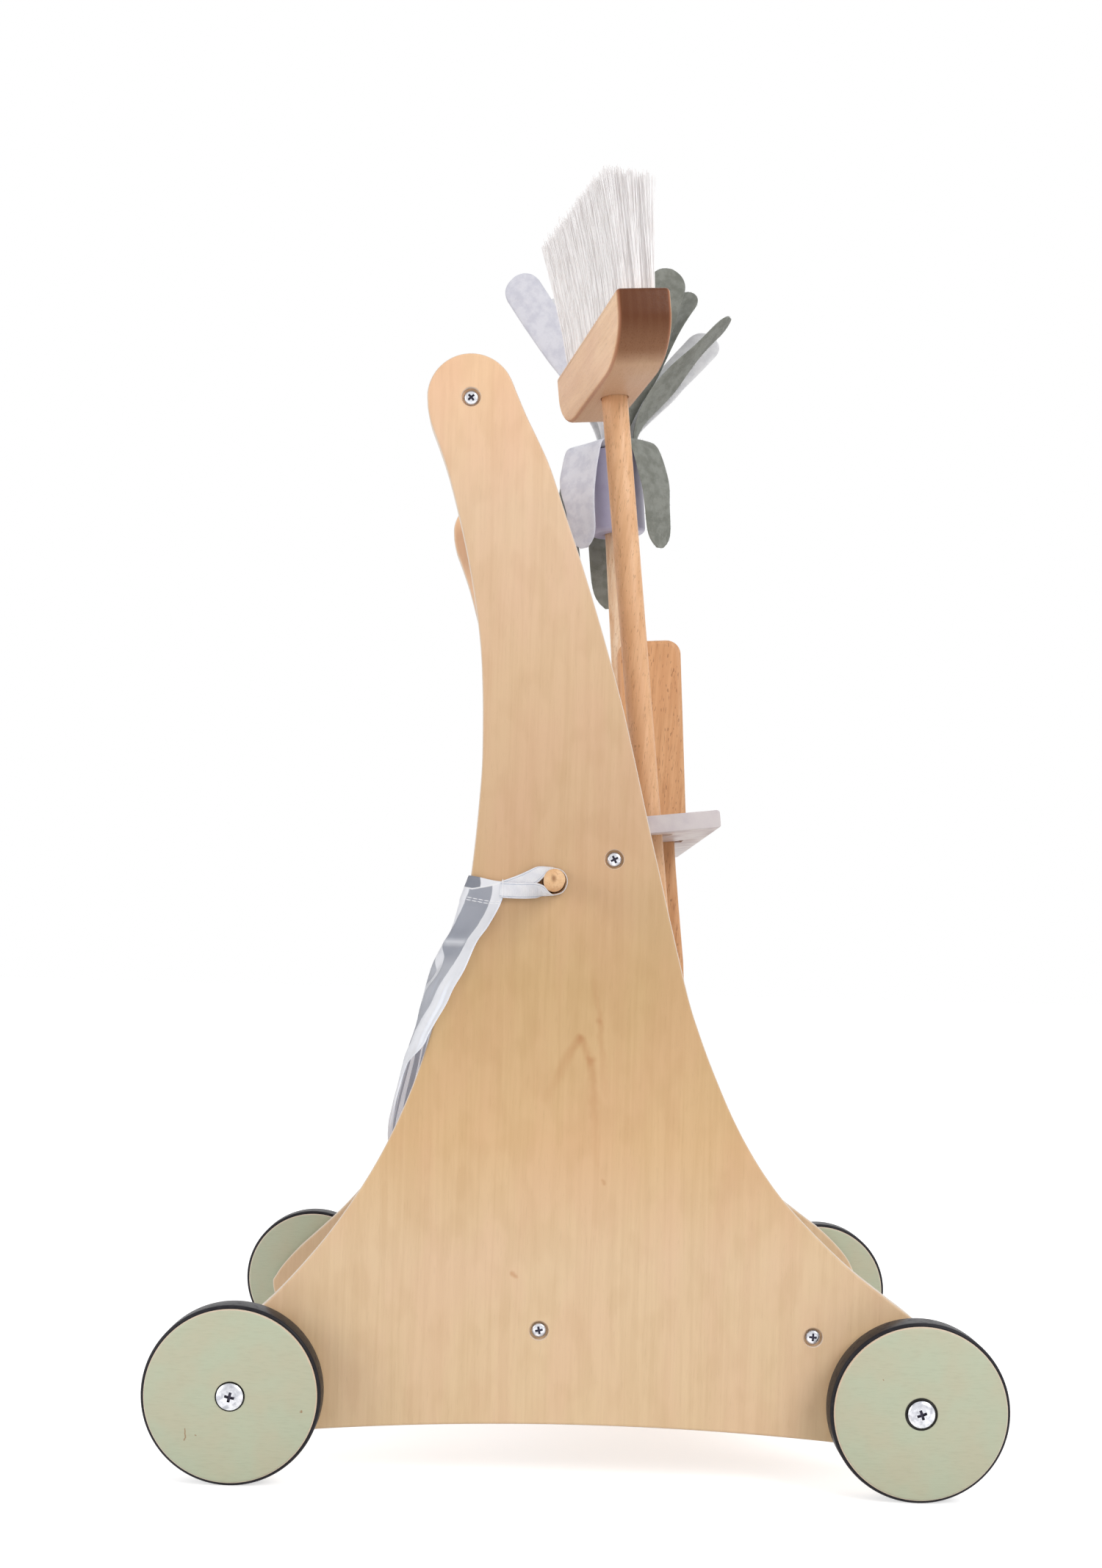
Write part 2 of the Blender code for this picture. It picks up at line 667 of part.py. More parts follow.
def wheels():
    """Each wheel turns on a sleeve that its axle bolt draws tight against the panel."""
    floor = WHEEL_OUTSIDE - BOLT_RECESS_DEPTH
    sleeve_length = floor + GAP - PANEL_INSIDE
    for end, forward, clearance in (("front", 1, FRONT_RECESS_CLEARANCE),
                                    ("rear", -1, REAR_RECESS_CLEARANCE)):
        for label, side in SIDES:
            tag = end + "_" + label
            x = forward * HALF_BASE
            outward = (0, side, 0)
            axle = holder("axle_" + tag, (x, side * WHEEL_INSIDE, WHEEL_RADIUS), facing(outward))
            bm = bmesh.new()
            add_turned(bm, disc_profile(clearance), WHEEL_SIDES, closed=True)
            piece("wheel_disc_" + tag, bm, lambda n: finish(n, (0.49, 0.52, 0.38), 0.5),
                  parent=axle)
            bm = bmesh.new()
            add_turned(bm, tyre_profile(), WHEEL_SIDES, closed=True)
            piece("tyre_" + tag, bm, lambda n: finish(n, (0.045, 0.05, 0.055), 0.7),
                  parent=axle)

            flange = SLEEVE_FLANGE_THICKNESS
            bore = BOLT_RADIUS + GAP
            sleeve = [(bore, -flange - GAP), (SLEEVE_FLANGE_RADIUS, -flange - GAP),
                      (SLEEVE_FLANGE_RADIUS, -GAP), (SLEEVE_RADIUS, -GAP),
                      (SLEEVE_RADIUS, sleeve_length), (bore, sleeve_length)]
            turned("sleeve_nut_" + tag, sleeve, FASTENER_SIDES, zinc,
                   (x, side * PANEL_INSIDE, WHEEL_RADIUS), outward, closed=True)

            hole = SLEEVE_RADIUS + GAP
            spacer = [(hole, 0), (SPACER_RADIUS, 0),
                      (SPACER_RADIUS, SPACER_THICKNESS), (hole, SPACER_THICKNESS)]
            turned("spacer_washer_" + tag, spacer, SPACER_SIDES, zinc,
                   (x, side * (PANEL_OUTSIDE + GAP), WHEEL_RADIUS), outward, closed=True)

            bolt = [(0, -BOLT_LENGTH), (BOLT_RADIUS, -BOLT_LENGTH), (BOLT_RADIUS, 0),
                    (BOLT_HEAD_RADIUS, 0), (BOLT_HEAD_RADIUS, BOLT_HEAD_HEIGHT / 3),
                    (BOLT_CROWN_RADIUS, BOLT_HEAD_HEIGHT), (0, BOLT_HEAD_HEIGHT)]
            turned("axle_bolt_" + tag, bolt, FASTENER_SIDES, zinc,
                   (x, side * (floor + 2 * GAP), WHEEL_RADIUS), outward)


def add_strands(bm, length, width, counts, strand, flare, thickness):
    """A slice of backing with a strand drawn up out of each cell of its face.

    The field lies in X and Y with the strands along +Z. Neighbouring strands share an edge
    at the root and part as they taper, and every strand spreads a little from the middle.
    strand gives the length of the strand at shares (u, v) from -1 to 1 over the field.
    """
    long_count, wide_count = counts
    grid = [[bm.verts.new(((2 * i / wide_count - 1) * width / 2,
                           (2 * j / long_count - 1) * length / 2, 0))
             for j in range(long_count + 1)] for i in range(wide_count + 1)]
    cells = []
    for i in range(wide_count):
        for j in range(long_count):
            corners = (grid[i][j], grid[i + 1][j], grid[i + 1][j + 1], grid[i][j + 1])
            cells.append((i, j, bm.faces.new(corners)))
    rim = [edge for edge in bm.edges if edge.is_boundary]
    skirt = bmesh.ops.extrude_edge_only(bm, edges=rim)
    low = [part for part in skirt["geom"] if isinstance(part, bmesh.types.BMVert)]
    bmesh.ops.translate(bm, verts=low, vec=(0, 0, -thickness))
    base_edges = [part for part in skirt["geom"]
                  if isinstance(part, bmesh.types.BMEdge) and part.is_boundary]
    bmesh.ops.contextual_create(bm, geom=base_edges)
    for i, j, face in cells:
        u = (2 * i + 1) / wide_count - 1
        v = (2 * j + 1) / long_count - 1
        tip = bmesh.ops.extrude_discrete_faces(bm, faces=[face])["faces"][0]
        middle = tip.calc_center_median()
        sway = math.sin(7 * i + 5 * j)
        shift = Vector((flare[0] * u + STRAND_JITTER * sway,
                        flare[1] * v + STRAND_JITTER * math.cos(3 * i - 4 * j),
                        strand(u, v, sway)))
        for corner in tip.verts:
            corner.co = middle + (corner.co - middle) * STRAND_TIP_SHARE + shift


def broom_head_outline():
    """Flat top for the bristles, short square ends, and rounded shoulders to a flat foot."""
    half, foot = BROOM_HEAD_LENGTH / 2, BROOM_HEAD_FOOT / 2
    drop = BROOM_HEAD_TALL - BROOM_HEAD_END
    shoulder = []
    for step in range(BROOM_SHOULDER_STEPS + 1):
        angle = math.pi / 2 * step / BROOM_SHOULDER_STEPS
        shoulder.append((foot + (half - foot) * math.sin(angle), drop * (1 - math.cos(angle))))
    left = [(-x, z) for x, z in reversed(shoulder)]
    return left + shoulder + [(half, BROOM_HEAD_TALL), (-half, BROOM_HEAD_TALL)]


def stick_profile(radius, length):
    return [(0, 0), (radius - STICK_ROUNDING, 0), (radius, STICK_ROUNDING),
            (radius, length - STICK_ROUNDING), (radius - STICK_ROUNDING, length), (0, length)]


def broom():
    foot, lean = tool_places()["broom"]
    tool = holder("broom_axis", foot, (0, -lean, 0))
    head_low = (BROOM_HEAD_HEIGHT - foot.z) / math.cos(lean)
    turn = (0, 0, BROOM_HEAD_TURN)

    bm = bmesh.new()
    stick_end = head_low + BROOM_SOCKET_DEPTH - GAP
    add_turned(bm, stick_profile(BROOM_STICK_RADIUS, stick_end), STICK_SIDES)
    piece("broom_stick", bm, beech, parent=tool)

    bm = plate(broom_head_outline(), -BROOM_HEAD_DEPTH / 2, BROOM_HEAD_DEPTH / 2)
    bmesh.ops.rotate(bm, verts=bm.verts, matrix=Matrix.Rotation(math.pi / 2, 3, "Z"))
    head = piece("broom_head", bm, beech, (0, 0, head_low), turn, tool)
    rounded(head, BROOM_HEAD_ROUNDING, 2)
    pocket = bmesh.new()
    hole = BROOM_STICK_RADIUS + GAP
    add_turned(pocket, [(0, -OVERRUN), (hole, -OVERRUN), (hole, BROOM_SOCKET_DEPTH),
                        (0, BROOM_SOCKET_DEPTH)], STICK_SIDES)
    add_pocket(pocket, BROOM_FIELD_DEPTH, BROOM_FIELD_LENGTH, BROOM_HEAD_TALL)
    cut(head, pocket, "holes_of_broom_head")

    def strand(u, v, sway):
        spread = BROOM_BRISTLE_NEAR + (BROOM_BRISTLE_FAR - BROOM_BRISTLE_NEAR) * (v + 1) / 2
        return spread + STRAND_JAG * sway

    bm = bmesh.new()
    add_strands(bm, BROOM_FIELD_LENGTH, BROOM_FIELD_DEPTH,
                (BROOM_STRANDS_LONG, BROOM_STRANDS_DEEP), strand,
                (BROOM_FLARE_DEEP, BROOM_FLARE_LONG), BACKING_THICKNESS)
    piece("broom_bristles", bm, white_cloth, (0, 0, head_low + BROOM_HEAD_TALL), turn, tool)


def add_pocket(bm, width, length, face):
    """Cutter for the shallow pocket that a bristle backing sits in."""
    deep = BACKING_THICKNESS + GAP
    box = bmesh.ops.create_cube(bm, size=1.0)["verts"]
    bmesh.ops.scale(bm, verts=box, vec=(width + 2 * GAP, length + 2 * GAP, deep + OVERRUN))
    bmesh.ops.translate(bm, verts=box, vec=(0, 0, face + (OVERRUN - deep) / 2))


# Each felt strip: the felt it is cut from, how far it turns to face sideways as a share of
# the whole turn, and its route from the ferrule's mouth as shares of FELT_REACH, from the
# middle of the mouth: to the front, to the left, and up.
FELT_ROUTE_SHARES = {
    "felt_strip_1": ("dark", 0.1, ((0.085, -0.078, 0.0), (0.112, -0.102, 0.024),
                                   (0.160, -0.148, 0.0), (0.215, -0.20, -0.26),
                                   (0.225, -0.20, -0.59))),
    "felt_strip_2": ("white", 0.7, ((0.072, 0.09, 0.0), (0.14, 0.14, 0.20),
                                    (0.36, 0.22, 0.46), (0.62, 0.27, 0.72))),
    "felt_strip_3": ("dark", 0.0, ((-0.026, 0.112, 0.0), (-0.033, 0.148, 0.024),
                                   (-0.048, 0.212, 0.0), (-0.06, 0.275, -0.30),
                                   (-0.055, 0.265, -0.84))),
    "felt_strip_4": ("dark", 0.1, ((-0.108, 0.039, 0.0), (-0.142, 0.051, 0.024),
                                   (-0.205, 0.072, 0.0), (-0.272, 0.10, -0.26),
                                   (-0.245, 0.095, -0.64))),
    "felt_strip_5": ("pale", 0.1, ((-0.082, -0.08, 0.0), (-0.108, -0.105, 0.024),
                                   (-0.155, -0.152, 0.0), (-0.205, -0.205, -0.26),
                                   (-0.20, -0.195, -0.57))),
    "felt_strip_6": ("pale", 0.8, ((0.0, -0.115, 0.0), (-0.05, -0.14, 0.25),
                                   (-0.29, -0.17, 0.60), (-0.51, -0.19, 0.97))),
    "felt_strip_7": ("dark", 0.5, ((0.115, 0.0, 0.0), (0.17, -0.02, 0.18),
                                   (0.42, -0.07, 0.46), (0.69, -0.12, 0.70))),
    "felt_strip_8": ("dark", 0.8, ((0.052, -0.03, 0.0), (0.09, -0.03, 0.25),
                                   (0.23, -0.03, 0.60), (0.38, -0.03, 1.02))),
    "felt_strip_9": ("dark", 0.8, ((0.03, 0.052, 0.0), (0.07, 0.08, 0.25),
                                   (0.25, 0.14, 0.58), (0.50, 0.18, 0.95))),
    "felt_strip_10": ("white", 0.8, ((-0.052, 0.03, 0.0), (-0.08, 0.06, 0.25),
                                     (-0.18, 0.12, 0.60), (-0.30, 0.18, 0.95))),
    "felt_strip_11": ("white", 0.8, ((-0.03, -0.052, 0.0), (-0.04, -0.08, 0.25),
                                     (-0.08, -0.11, 0.60), (-0.13, -0.12, 1.03))),
}

# Half width along a strip, as shares of FELT_WIDTH over shares of its length, and the
# shares of its length at which the round tip is drawn
FELT_WIDTH_SHARES = ((0.0, 0.155), (0.2, 0.18), (0.34, 0.38), (0.5, 0.48), (0.8, 0.5),
                     (0.9, 0.46), (0.96, 0.34), (1.0, 0.13))
FELT_TIP_SHARES = (0.8, 0.9, 0.96, 1.0)

FELT_COLOURS = {
    "dark": (0.21, 0.23, 0.205),
    "pale": (0.66, 0.66, 0.74),
    "white": (0.84, 0.84, 0.84),
}


def share_between(table, share):
    """Read a table of (share, value) pairs at a share, in straight runs."""
    for (low, first), (high, second) in zip(table, table[1:]):
        if share <= high:
            return first + (second - first) * (share - low) / (high - low)
    return table[-1][1]


def add_felt_strip(bm, route, turn_share):
    """A felt tongue along its route, which may turn from round the mouth to face sideways."""
    line = smooth_line([Vector(spot) * FELT_REACH for spot in route], FELT_STEPS)
    root = line[0].copy()
    line.insert(0, root - Vector((0, 0, FERRULE_MOUTH_DEPTH - GAP)))
    lengths = [0.0]
    for before, after in zip(line, line[1:]):
        lengths.append(lengths[-1] + (after - before).length)
    shares = [run / lengths[-1] for run in lengths]
    stations = [share for share in shares if share < FELT_TIP_SHARES[0]] + list(FELT_TIP_SHARES)
    around = Vector((-root.y, root.x, 0)).normalized()
    across = Vector((1, 0, 0)) if around.x >= 0 else Vector((-1, 0, 0))
    rings = []
    for share in stations:
        place = share_between(list(zip(shares, line)), share)
        ahead = share_between(list(zip(shares, line)), min(share + FELT_PROBE_SHARE, 1.0))
        behind = share_between(list(zip(shares, line)), max(share - FELT_PROBE_SHARE, 0.0))
        along = (ahead - behind).normalized()
        turn = min(share / FELT_TURN_END_SHARE, 1.0) * turn_share
        side = around.lerp(across, turn)
        side = (side - along * side.dot(along)).normalized()
        face = along.cross(side)
        half = FELT_WIDTH * share_between(FELT_WIDTH_SHARES, share)
        rings.append([bm.verts.new(place + side * half * a + face * FELT_THICKNESS / 2 * b)
                      for a, b in ((-1, -1), (1, -1), (1, 1), (-1, 1))])
    for lower, upper in zip(rings, rings[1:]):
        for k in range(4):
            bm.faces.new((lower[k], lower[(k + 1) % 4], upper[(k + 1) % 4], upper[k]))
    bm.faces.new(rings[0])
    bm.faces.new(rings[-1])


def mop():
    foot, lean = tool_places()["mop"]
    tool = holder("mop_axis", foot, (0, -lean, 0))
    ferrule_low = (FERRULE_HEIGHT - foot.z) / math.cos(lean)

    bm = bmesh.new()
    stick_end = ferrule_low + FERRULE_SOCKET_DEPTH - GAP
    add_turned(bm, stick_profile(MOP_STICK_RADIUS, stick_end), STICK_SIDES)
    piece("mop_stick", bm, beech, parent=tool)

    hole = MOP_STICK_RADIUS + GAP
    soft = FERRULE_ROUNDING
    profile = [
        (0, FERRULE_SOCKET_DEPTH),
        (hole, FERRULE_SOCKET_DEPTH),
        (hole, 0),
        (FERRULE_RADIUS - soft, 0),
        (FERRULE_RADIUS, soft),
        (FERRULE_RADIUS, FERRULE_LENGTH - soft / 2),
        (FERRULE_RADIUS - soft / 2, FERRULE_LENGTH),
        (FERRULE_MOUTH_RADIUS, FERRULE_LENGTH),
        (FERRULE_MOUTH_RADIUS, FERRULE_LENGTH - FERRULE_MOUTH_DEPTH),
        (0, FERRULE_LENGTH - FERRULE_MOUTH_DEPTH),
    ]
    bm = bmesh.new()
    add_turned(bm, profile, FERRULE_SIDES)
    piece("mop_ferrule", bm, lavender, (0, 0, ferrule_low), parent=tool)

    mouth = (0, 0, ferrule_low + FERRULE_LENGTH)
    for name, (felt, turn_share, route) in FELT_ROUTE_SHARES.items():
        bm = bmesh.new()
        add_felt_strip(bm, route, turn_share)
        colour = FELT_COLOURS[felt]
        piece(name, bm, lambda n, c=colour: finish(n, c, 0.95), mouth, parent=tool)


def brush_outline():
    """Head with rounded top corners, square shoulders, slim neck and a fuller grip."""
    head, neck, grip = BRUSH_HEAD_WIDTH / 2, BRUSH_NECK_WIDTH / 2, BRUSH_GRIP_WIDTH / 2
    top, soft = BRUSH_HEAD_LENGTH, BRUSH_HEAD_ROUNDING
    quarter = math.pi / 2
    right = [(neck, 0), (head, 0)]
    right += arc((head - soft, top - soft), soft, 0, quarter, CORNER_STEPS)
    grip_line = [(neck, 0), (neck, -BRUSH_NECK_SHARE * BRUSH_HANDLE_LENGTH),
                 (grip, -BRUSH_GRIP_SHARE * BRUSH_HANDLE_LENGTH)]
    handle = smooth_line(grip_line, CORNER_STEPS)[1:]
    end = arc((0, grip - BRUSH_HANDLE_LENGTH), grip, 0, -quarter, CORNER_STEPS)
    down = [tuple(point) for point in handle] + end
    right_side = list(reversed(down)) + right
    left_side = [(-x, z) for x, z in reversed(right_side)]
    return right_side + [point for point in left_side if abs(point[0]) > MERGE]


def hand_brush():
    spot = brush_place()
    tool = holder("hand_brush_axis", spot, (0, -BRUSH_LEAN, 0))
    half = BRUSH_THICKNESS / 2
    body = piece("hand_brush_body", plate(brush_outline(), -half, half), beech, parent=tool)
    rounded(body, BRUSH_EDGE_ROUNDING, 2)

    middle = BRUSH_HEAD_LENGTH / 2
    to_back = Matrix.Translation((0, 0, middle)) @ Matrix.Rotation(-math.pi / 2, 4, "X")
    pocket = bmesh.new()
    add_pocket(pocket, BRUSH_FIELD_WIDTH, BRUSH_FIELD_LENGTH, half)
    bmesh.ops.transform(pocket, matrix=to_back, verts=pocket.verts)
    cut(body, pocket, "holes_of_hand_brush")

    def strand(u, v, sway):
        return BRUSH_BRISTLE_LENGTH + BRUSH_JAG * sway

    bm = bmesh.new()
    add_strands(bm, BRUSH_FIELD_LENGTH, BRUSH_FIELD_WIDTH,
                (BRUSH_STRANDS_LONG, BRUSH_STRANDS_WIDE), strand,
                (BRUSH_FLARE, BRUSH_FLARE), BACKING_THICKNESS)
    bmesh.ops.translate(bm, verts=bm.verts, vec=(0, 0, half))
    bmesh.ops.transform(bm, matrix=to_back, verts=bm.verts)
    piece("hand_brush_bristles", bm, white_cloth, parent=tool)


# Columns of the hanging apron from its middle to where it starts to bend, as shares
APRON_COLUMN_SHARES = (0.0, 0.14, 0.28, 0.42, 0.56, 0.69, 0.81, 0.91, 1.0)

# Down the apron: how far its side border reaches from the middle, as shares of the panels'
# outside, and how far it bulges off the panels' rear edge, as shares of APRON_FOLD
APRON_BORDER_SHARES = ((0.0, 1.11), (0.25, 1.085), (0.4, 1.05), (0.46, 1.03), (0.57, 0.97),
                       (0.68, 0.900), (0.8, 0.885), (1.0, 0.865))
APRON_BULGE_SHARES = ((0.0, 0.0), (0.14, 0.04), (0.22, 0.60), (0.33, 0.66), (0.45, 0.64),
                      (0.53, 0.52), (0.6, 0.36), (0.69, 0.0), (1.0, 0.0))
APRON_TUCK_SHARE = 0.68


def apron_point(run, down):
    """The cloth's middle surface. run is the way across it from the middle, + is left."""
    side = -1 if run < 0 else 1
    run = abs(run)
    border = PANEL_OUTSIDE * share_between(APRON_BORDER_SHARES, down)
    reach = min(run / border, 1.0)
    sag = APRON_TOP_SAG * (1 - reach ** 2) * (1 - down)
    z = APRON_TOP - APRON_DROP * down - sag
    clear = CLOTH_CLEARANCE + CLOTH_THICKNESS / 2
    bulge = APRON_FOLD * share_between(APRON_BULGE_SHARES, down)
    back = rear_edge_at(max(z, APRON_TOP - APRON_DROP * APRON_TUCK_SHARE)) - clear - bulge
    outer = PANEL_OUTSIDE + clear
    straight = outer - APRON_BEND
    bend = APRON_BEND * math.pi / 2
    if run <= straight:
        fold = math.sin(APRON_FOLD_COUNT * math.pi / 2 * reach) ** 2
        clear_of_panel = max(1 - (run / PANEL_INSIDE) ** 4, 0)
        x = back + APRON_FOLD * down * fold * clear_of_panel
        return Vector((x, side * run, z))
    if run <= straight + bend:
        angle = (run - straight) / APRON_BEND
        y = straight + APRON_BEND * math.sin(angle)
        return Vector((back + APRON_BEND * (1 - math.cos(angle)), side * y, z))
    return Vector((back + APRON_BEND + run - straight - bend, side * outer, z))


def apron_runs(down):
    """Where the cloth's columns lie across it: spaced over its back, then round the bend."""
    border = PANEL_OUTSIDE * share_between(APRON_BORDER_SHARES, down)
    straight = PANEL_OUTSIDE + CLOTH_CLEARANCE + CLOTH_THICKNESS / 2 - APRON_BEND
    bend = APRON_BEND * math.pi / 2
    inner = min(border - APRON_HEM, straight)
    rest = border - inner
    half = [inner * share for share in APRON_COLUMN_SHARES]
    half += [inner + min(bend / 2, rest / 3), inner + min(bend, rest * 2 / 3), border]
    return [-run for run in reversed(half[1:])] + half


def apron():
    """Cloth hung over the rear edges: wrapped round the panels above, gathered in below."""
    bm = bmesh.new()
    front, back = [], []
    for row in range(APRON_ROWS + 1):
        down = row / APRON_ROWS
        above, below = max(down - APRON_STEP_SHARE, 0), min(down + APRON_STEP_SHARE, 1)
        near, far = [], []
        for run in apron_runs(down):
            along = apron_point(run + APRON_PROBE, down) - apron_point(run - APRON_PROBE, down)
            fall = apron_point(run, below) - apron_point(run, above)
            normal = along.cross(fall).normalized() * CLOTH_THICKNESS / 2
            spot = apron_point(run, down)
            near.append(bm.verts.new(spot + normal))
            far.append(bm.verts.new(spot - normal))
        front.append(near)
        back.append(far)
    last = len(front[0]) - 1
    for r in range(APRON_ROWS):
        for c in range(last):
            bm.faces.new((front[r][c], front[r][c + 1], front[r + 1][c + 1], front[r + 1][c]))
            bm.faces.new((back[r][c], back[r + 1][c], back[r + 1][c + 1], back[r][c + 1]))
        for c in (0, last):
            bm.faces.new((front[r][c], front[r + 1][c], back[r + 1][c], back[r][c]))
    for r in (0, APRON_ROWS):
        for c in range(last):
            bm.faces.new((front[r][c], front[r][c + 1], back[r][c + 1], back[r][c]))
    piece("apron", bm, lambda n: finish(n, (0.45, 0.46, 0.52), 0.95))


def ribbon_outline(radius, corner):
    """A loop drawn tight from a point at the apron's corner round the peg."""
    away = corner - Vector((PEG_FORWARD, PEG_HEIGHT))
    heading = math.atan2(away.y, away.x)
    half = math.acos(radius / away.length)
    around = arc((PEG_FORWARD, PEG_HEIGHT), radius, heading + half,
                 heading + 2 * math.pi - half, RIBBON_STEPS)
    return around + [tuple(corner)]


def apron_loops():
    corner_z = APRON_TOP - RIBBON_WIDTH / 2
    corner_x = apron_point(apron_runs(0)[-1], 0).x + GAP
    for label, side in SIDES:
        low = side * (PANEL_OUTSIDE + GAP)
        high = low + side * RIBBON_WIDTH
        inner_radius = PEG_RADIUS + GAP
        corner = Vector((corner_x, corner_z))
        to_peg = (Vector((PEG_FORWARD, PEG_HEIGHT)) - corner).normalized()
        inner_corner = corner + to_peg * RIBBON_CORNER
        outer = ribbon_outline(inner_radius + RIBBON_THICKNESS, corner)
        inner = ribbon_outline(inner_radius, inner_corner)
        bm = bmesh.new()
        rings = []
        for line, y in ((outer, low), (outer, high), (inner, high), (inner, low)):
            rings.append([bm.verts.new((x, y, z)) for x, z in line])
        count = len(outer)
        for k in range(4):
            first, second = rings[k], rings[(k + 1) % 4]
            for i in range(count):
                j = (i + 1) % count
                bm.faces.new((first[i], first[j], second[j], second[i]))
        piece("apron_loop_" + label, bm, white_cloth)


clear_scene()
side_panels()
cross_members()
rack_board()
pegs()
wheels()
broom()
mop()
hand_brush()
apron()
apron_loops()
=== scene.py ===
import math

import bmesh
import bpy
from mathutils import Matrix, Vector, noise


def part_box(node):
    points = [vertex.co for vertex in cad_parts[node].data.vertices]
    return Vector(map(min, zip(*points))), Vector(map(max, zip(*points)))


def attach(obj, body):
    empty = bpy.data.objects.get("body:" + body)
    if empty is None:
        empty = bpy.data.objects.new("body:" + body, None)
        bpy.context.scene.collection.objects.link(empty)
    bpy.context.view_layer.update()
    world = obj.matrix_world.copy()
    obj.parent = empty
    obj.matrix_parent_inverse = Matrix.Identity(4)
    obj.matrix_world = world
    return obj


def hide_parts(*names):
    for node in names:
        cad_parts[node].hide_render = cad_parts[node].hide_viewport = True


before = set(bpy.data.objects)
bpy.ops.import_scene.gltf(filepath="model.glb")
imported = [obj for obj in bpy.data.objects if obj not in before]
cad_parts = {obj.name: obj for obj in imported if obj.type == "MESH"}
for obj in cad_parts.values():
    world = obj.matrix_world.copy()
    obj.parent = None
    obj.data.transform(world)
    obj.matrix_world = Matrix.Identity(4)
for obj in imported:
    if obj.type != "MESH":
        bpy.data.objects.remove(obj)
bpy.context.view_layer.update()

# Camera
# It stands where the photograph was taken: a metre off the cart's right side, level with the
# apron's middle and rolled by a degree and a half, its frame shifted up to take in the broom.
PHOTO_LONG_SIDE = 2135
FOCAL_LENGTH_PIXELS = 2757
FRAME_SHIFT_PIXELS = (18.4, 233.5)
SENSOR_LONG_SIDE = 36
CAMERA_SPOT = (-0.0214, -1.042, 0.2324)
CAMERA_ROLL = math.radians(1.48)

lens = bpy.data.cameras.new("camera")
lens.sensor_width = SENSOR_LONG_SIDE
lens.lens = SENSOR_LONG_SIDE * FOCAL_LENGTH_PIXELS / PHOTO_LONG_SIDE
lens.shift_x, lens.shift_y = (shift / PHOTO_LONG_SIDE for shift in FRAME_SHIFT_PIXELS)
camera = bpy.data.objects.new("camera", lens)
camera.matrix_world = (Matrix.Translation(CAMERA_SPOT) @ Matrix.Rotation(-CAMERA_ROLL, 4, "Y")
                       @ Matrix.Rotation(math.pi / 2, 4, "X"))
bpy.context.scene.collection.objects.link(camera)
bpy.context.scene.camera = camera
bpy.context.scene.view_settings.view_transform = "Standard"

# Studio
# A white sweep under soft light: the whole room glows a little, a broad panel hangs over the
# right shoulder of the camera and a weaker one at the left, so edges and folds are drawn.
ROOM_GLOW = 0.52
FLOOR_SIZE = 12.0
FLOOR_WHITE = 0.86
FLOOR_LIFT = 0.62
LIT_SPOT = Vector((0, 0, 0.25))
SOFT_PANELS = (
    ("key_panel", (1.5, -1.7, 1.7), 1.5, 29.0),
    ("left_panel", (-2.0, -1.1, 0.8), 1.4, 15.0),
    ("back_panel", (0.4, 1.9, 1.9), 1.5, 9.0),
)


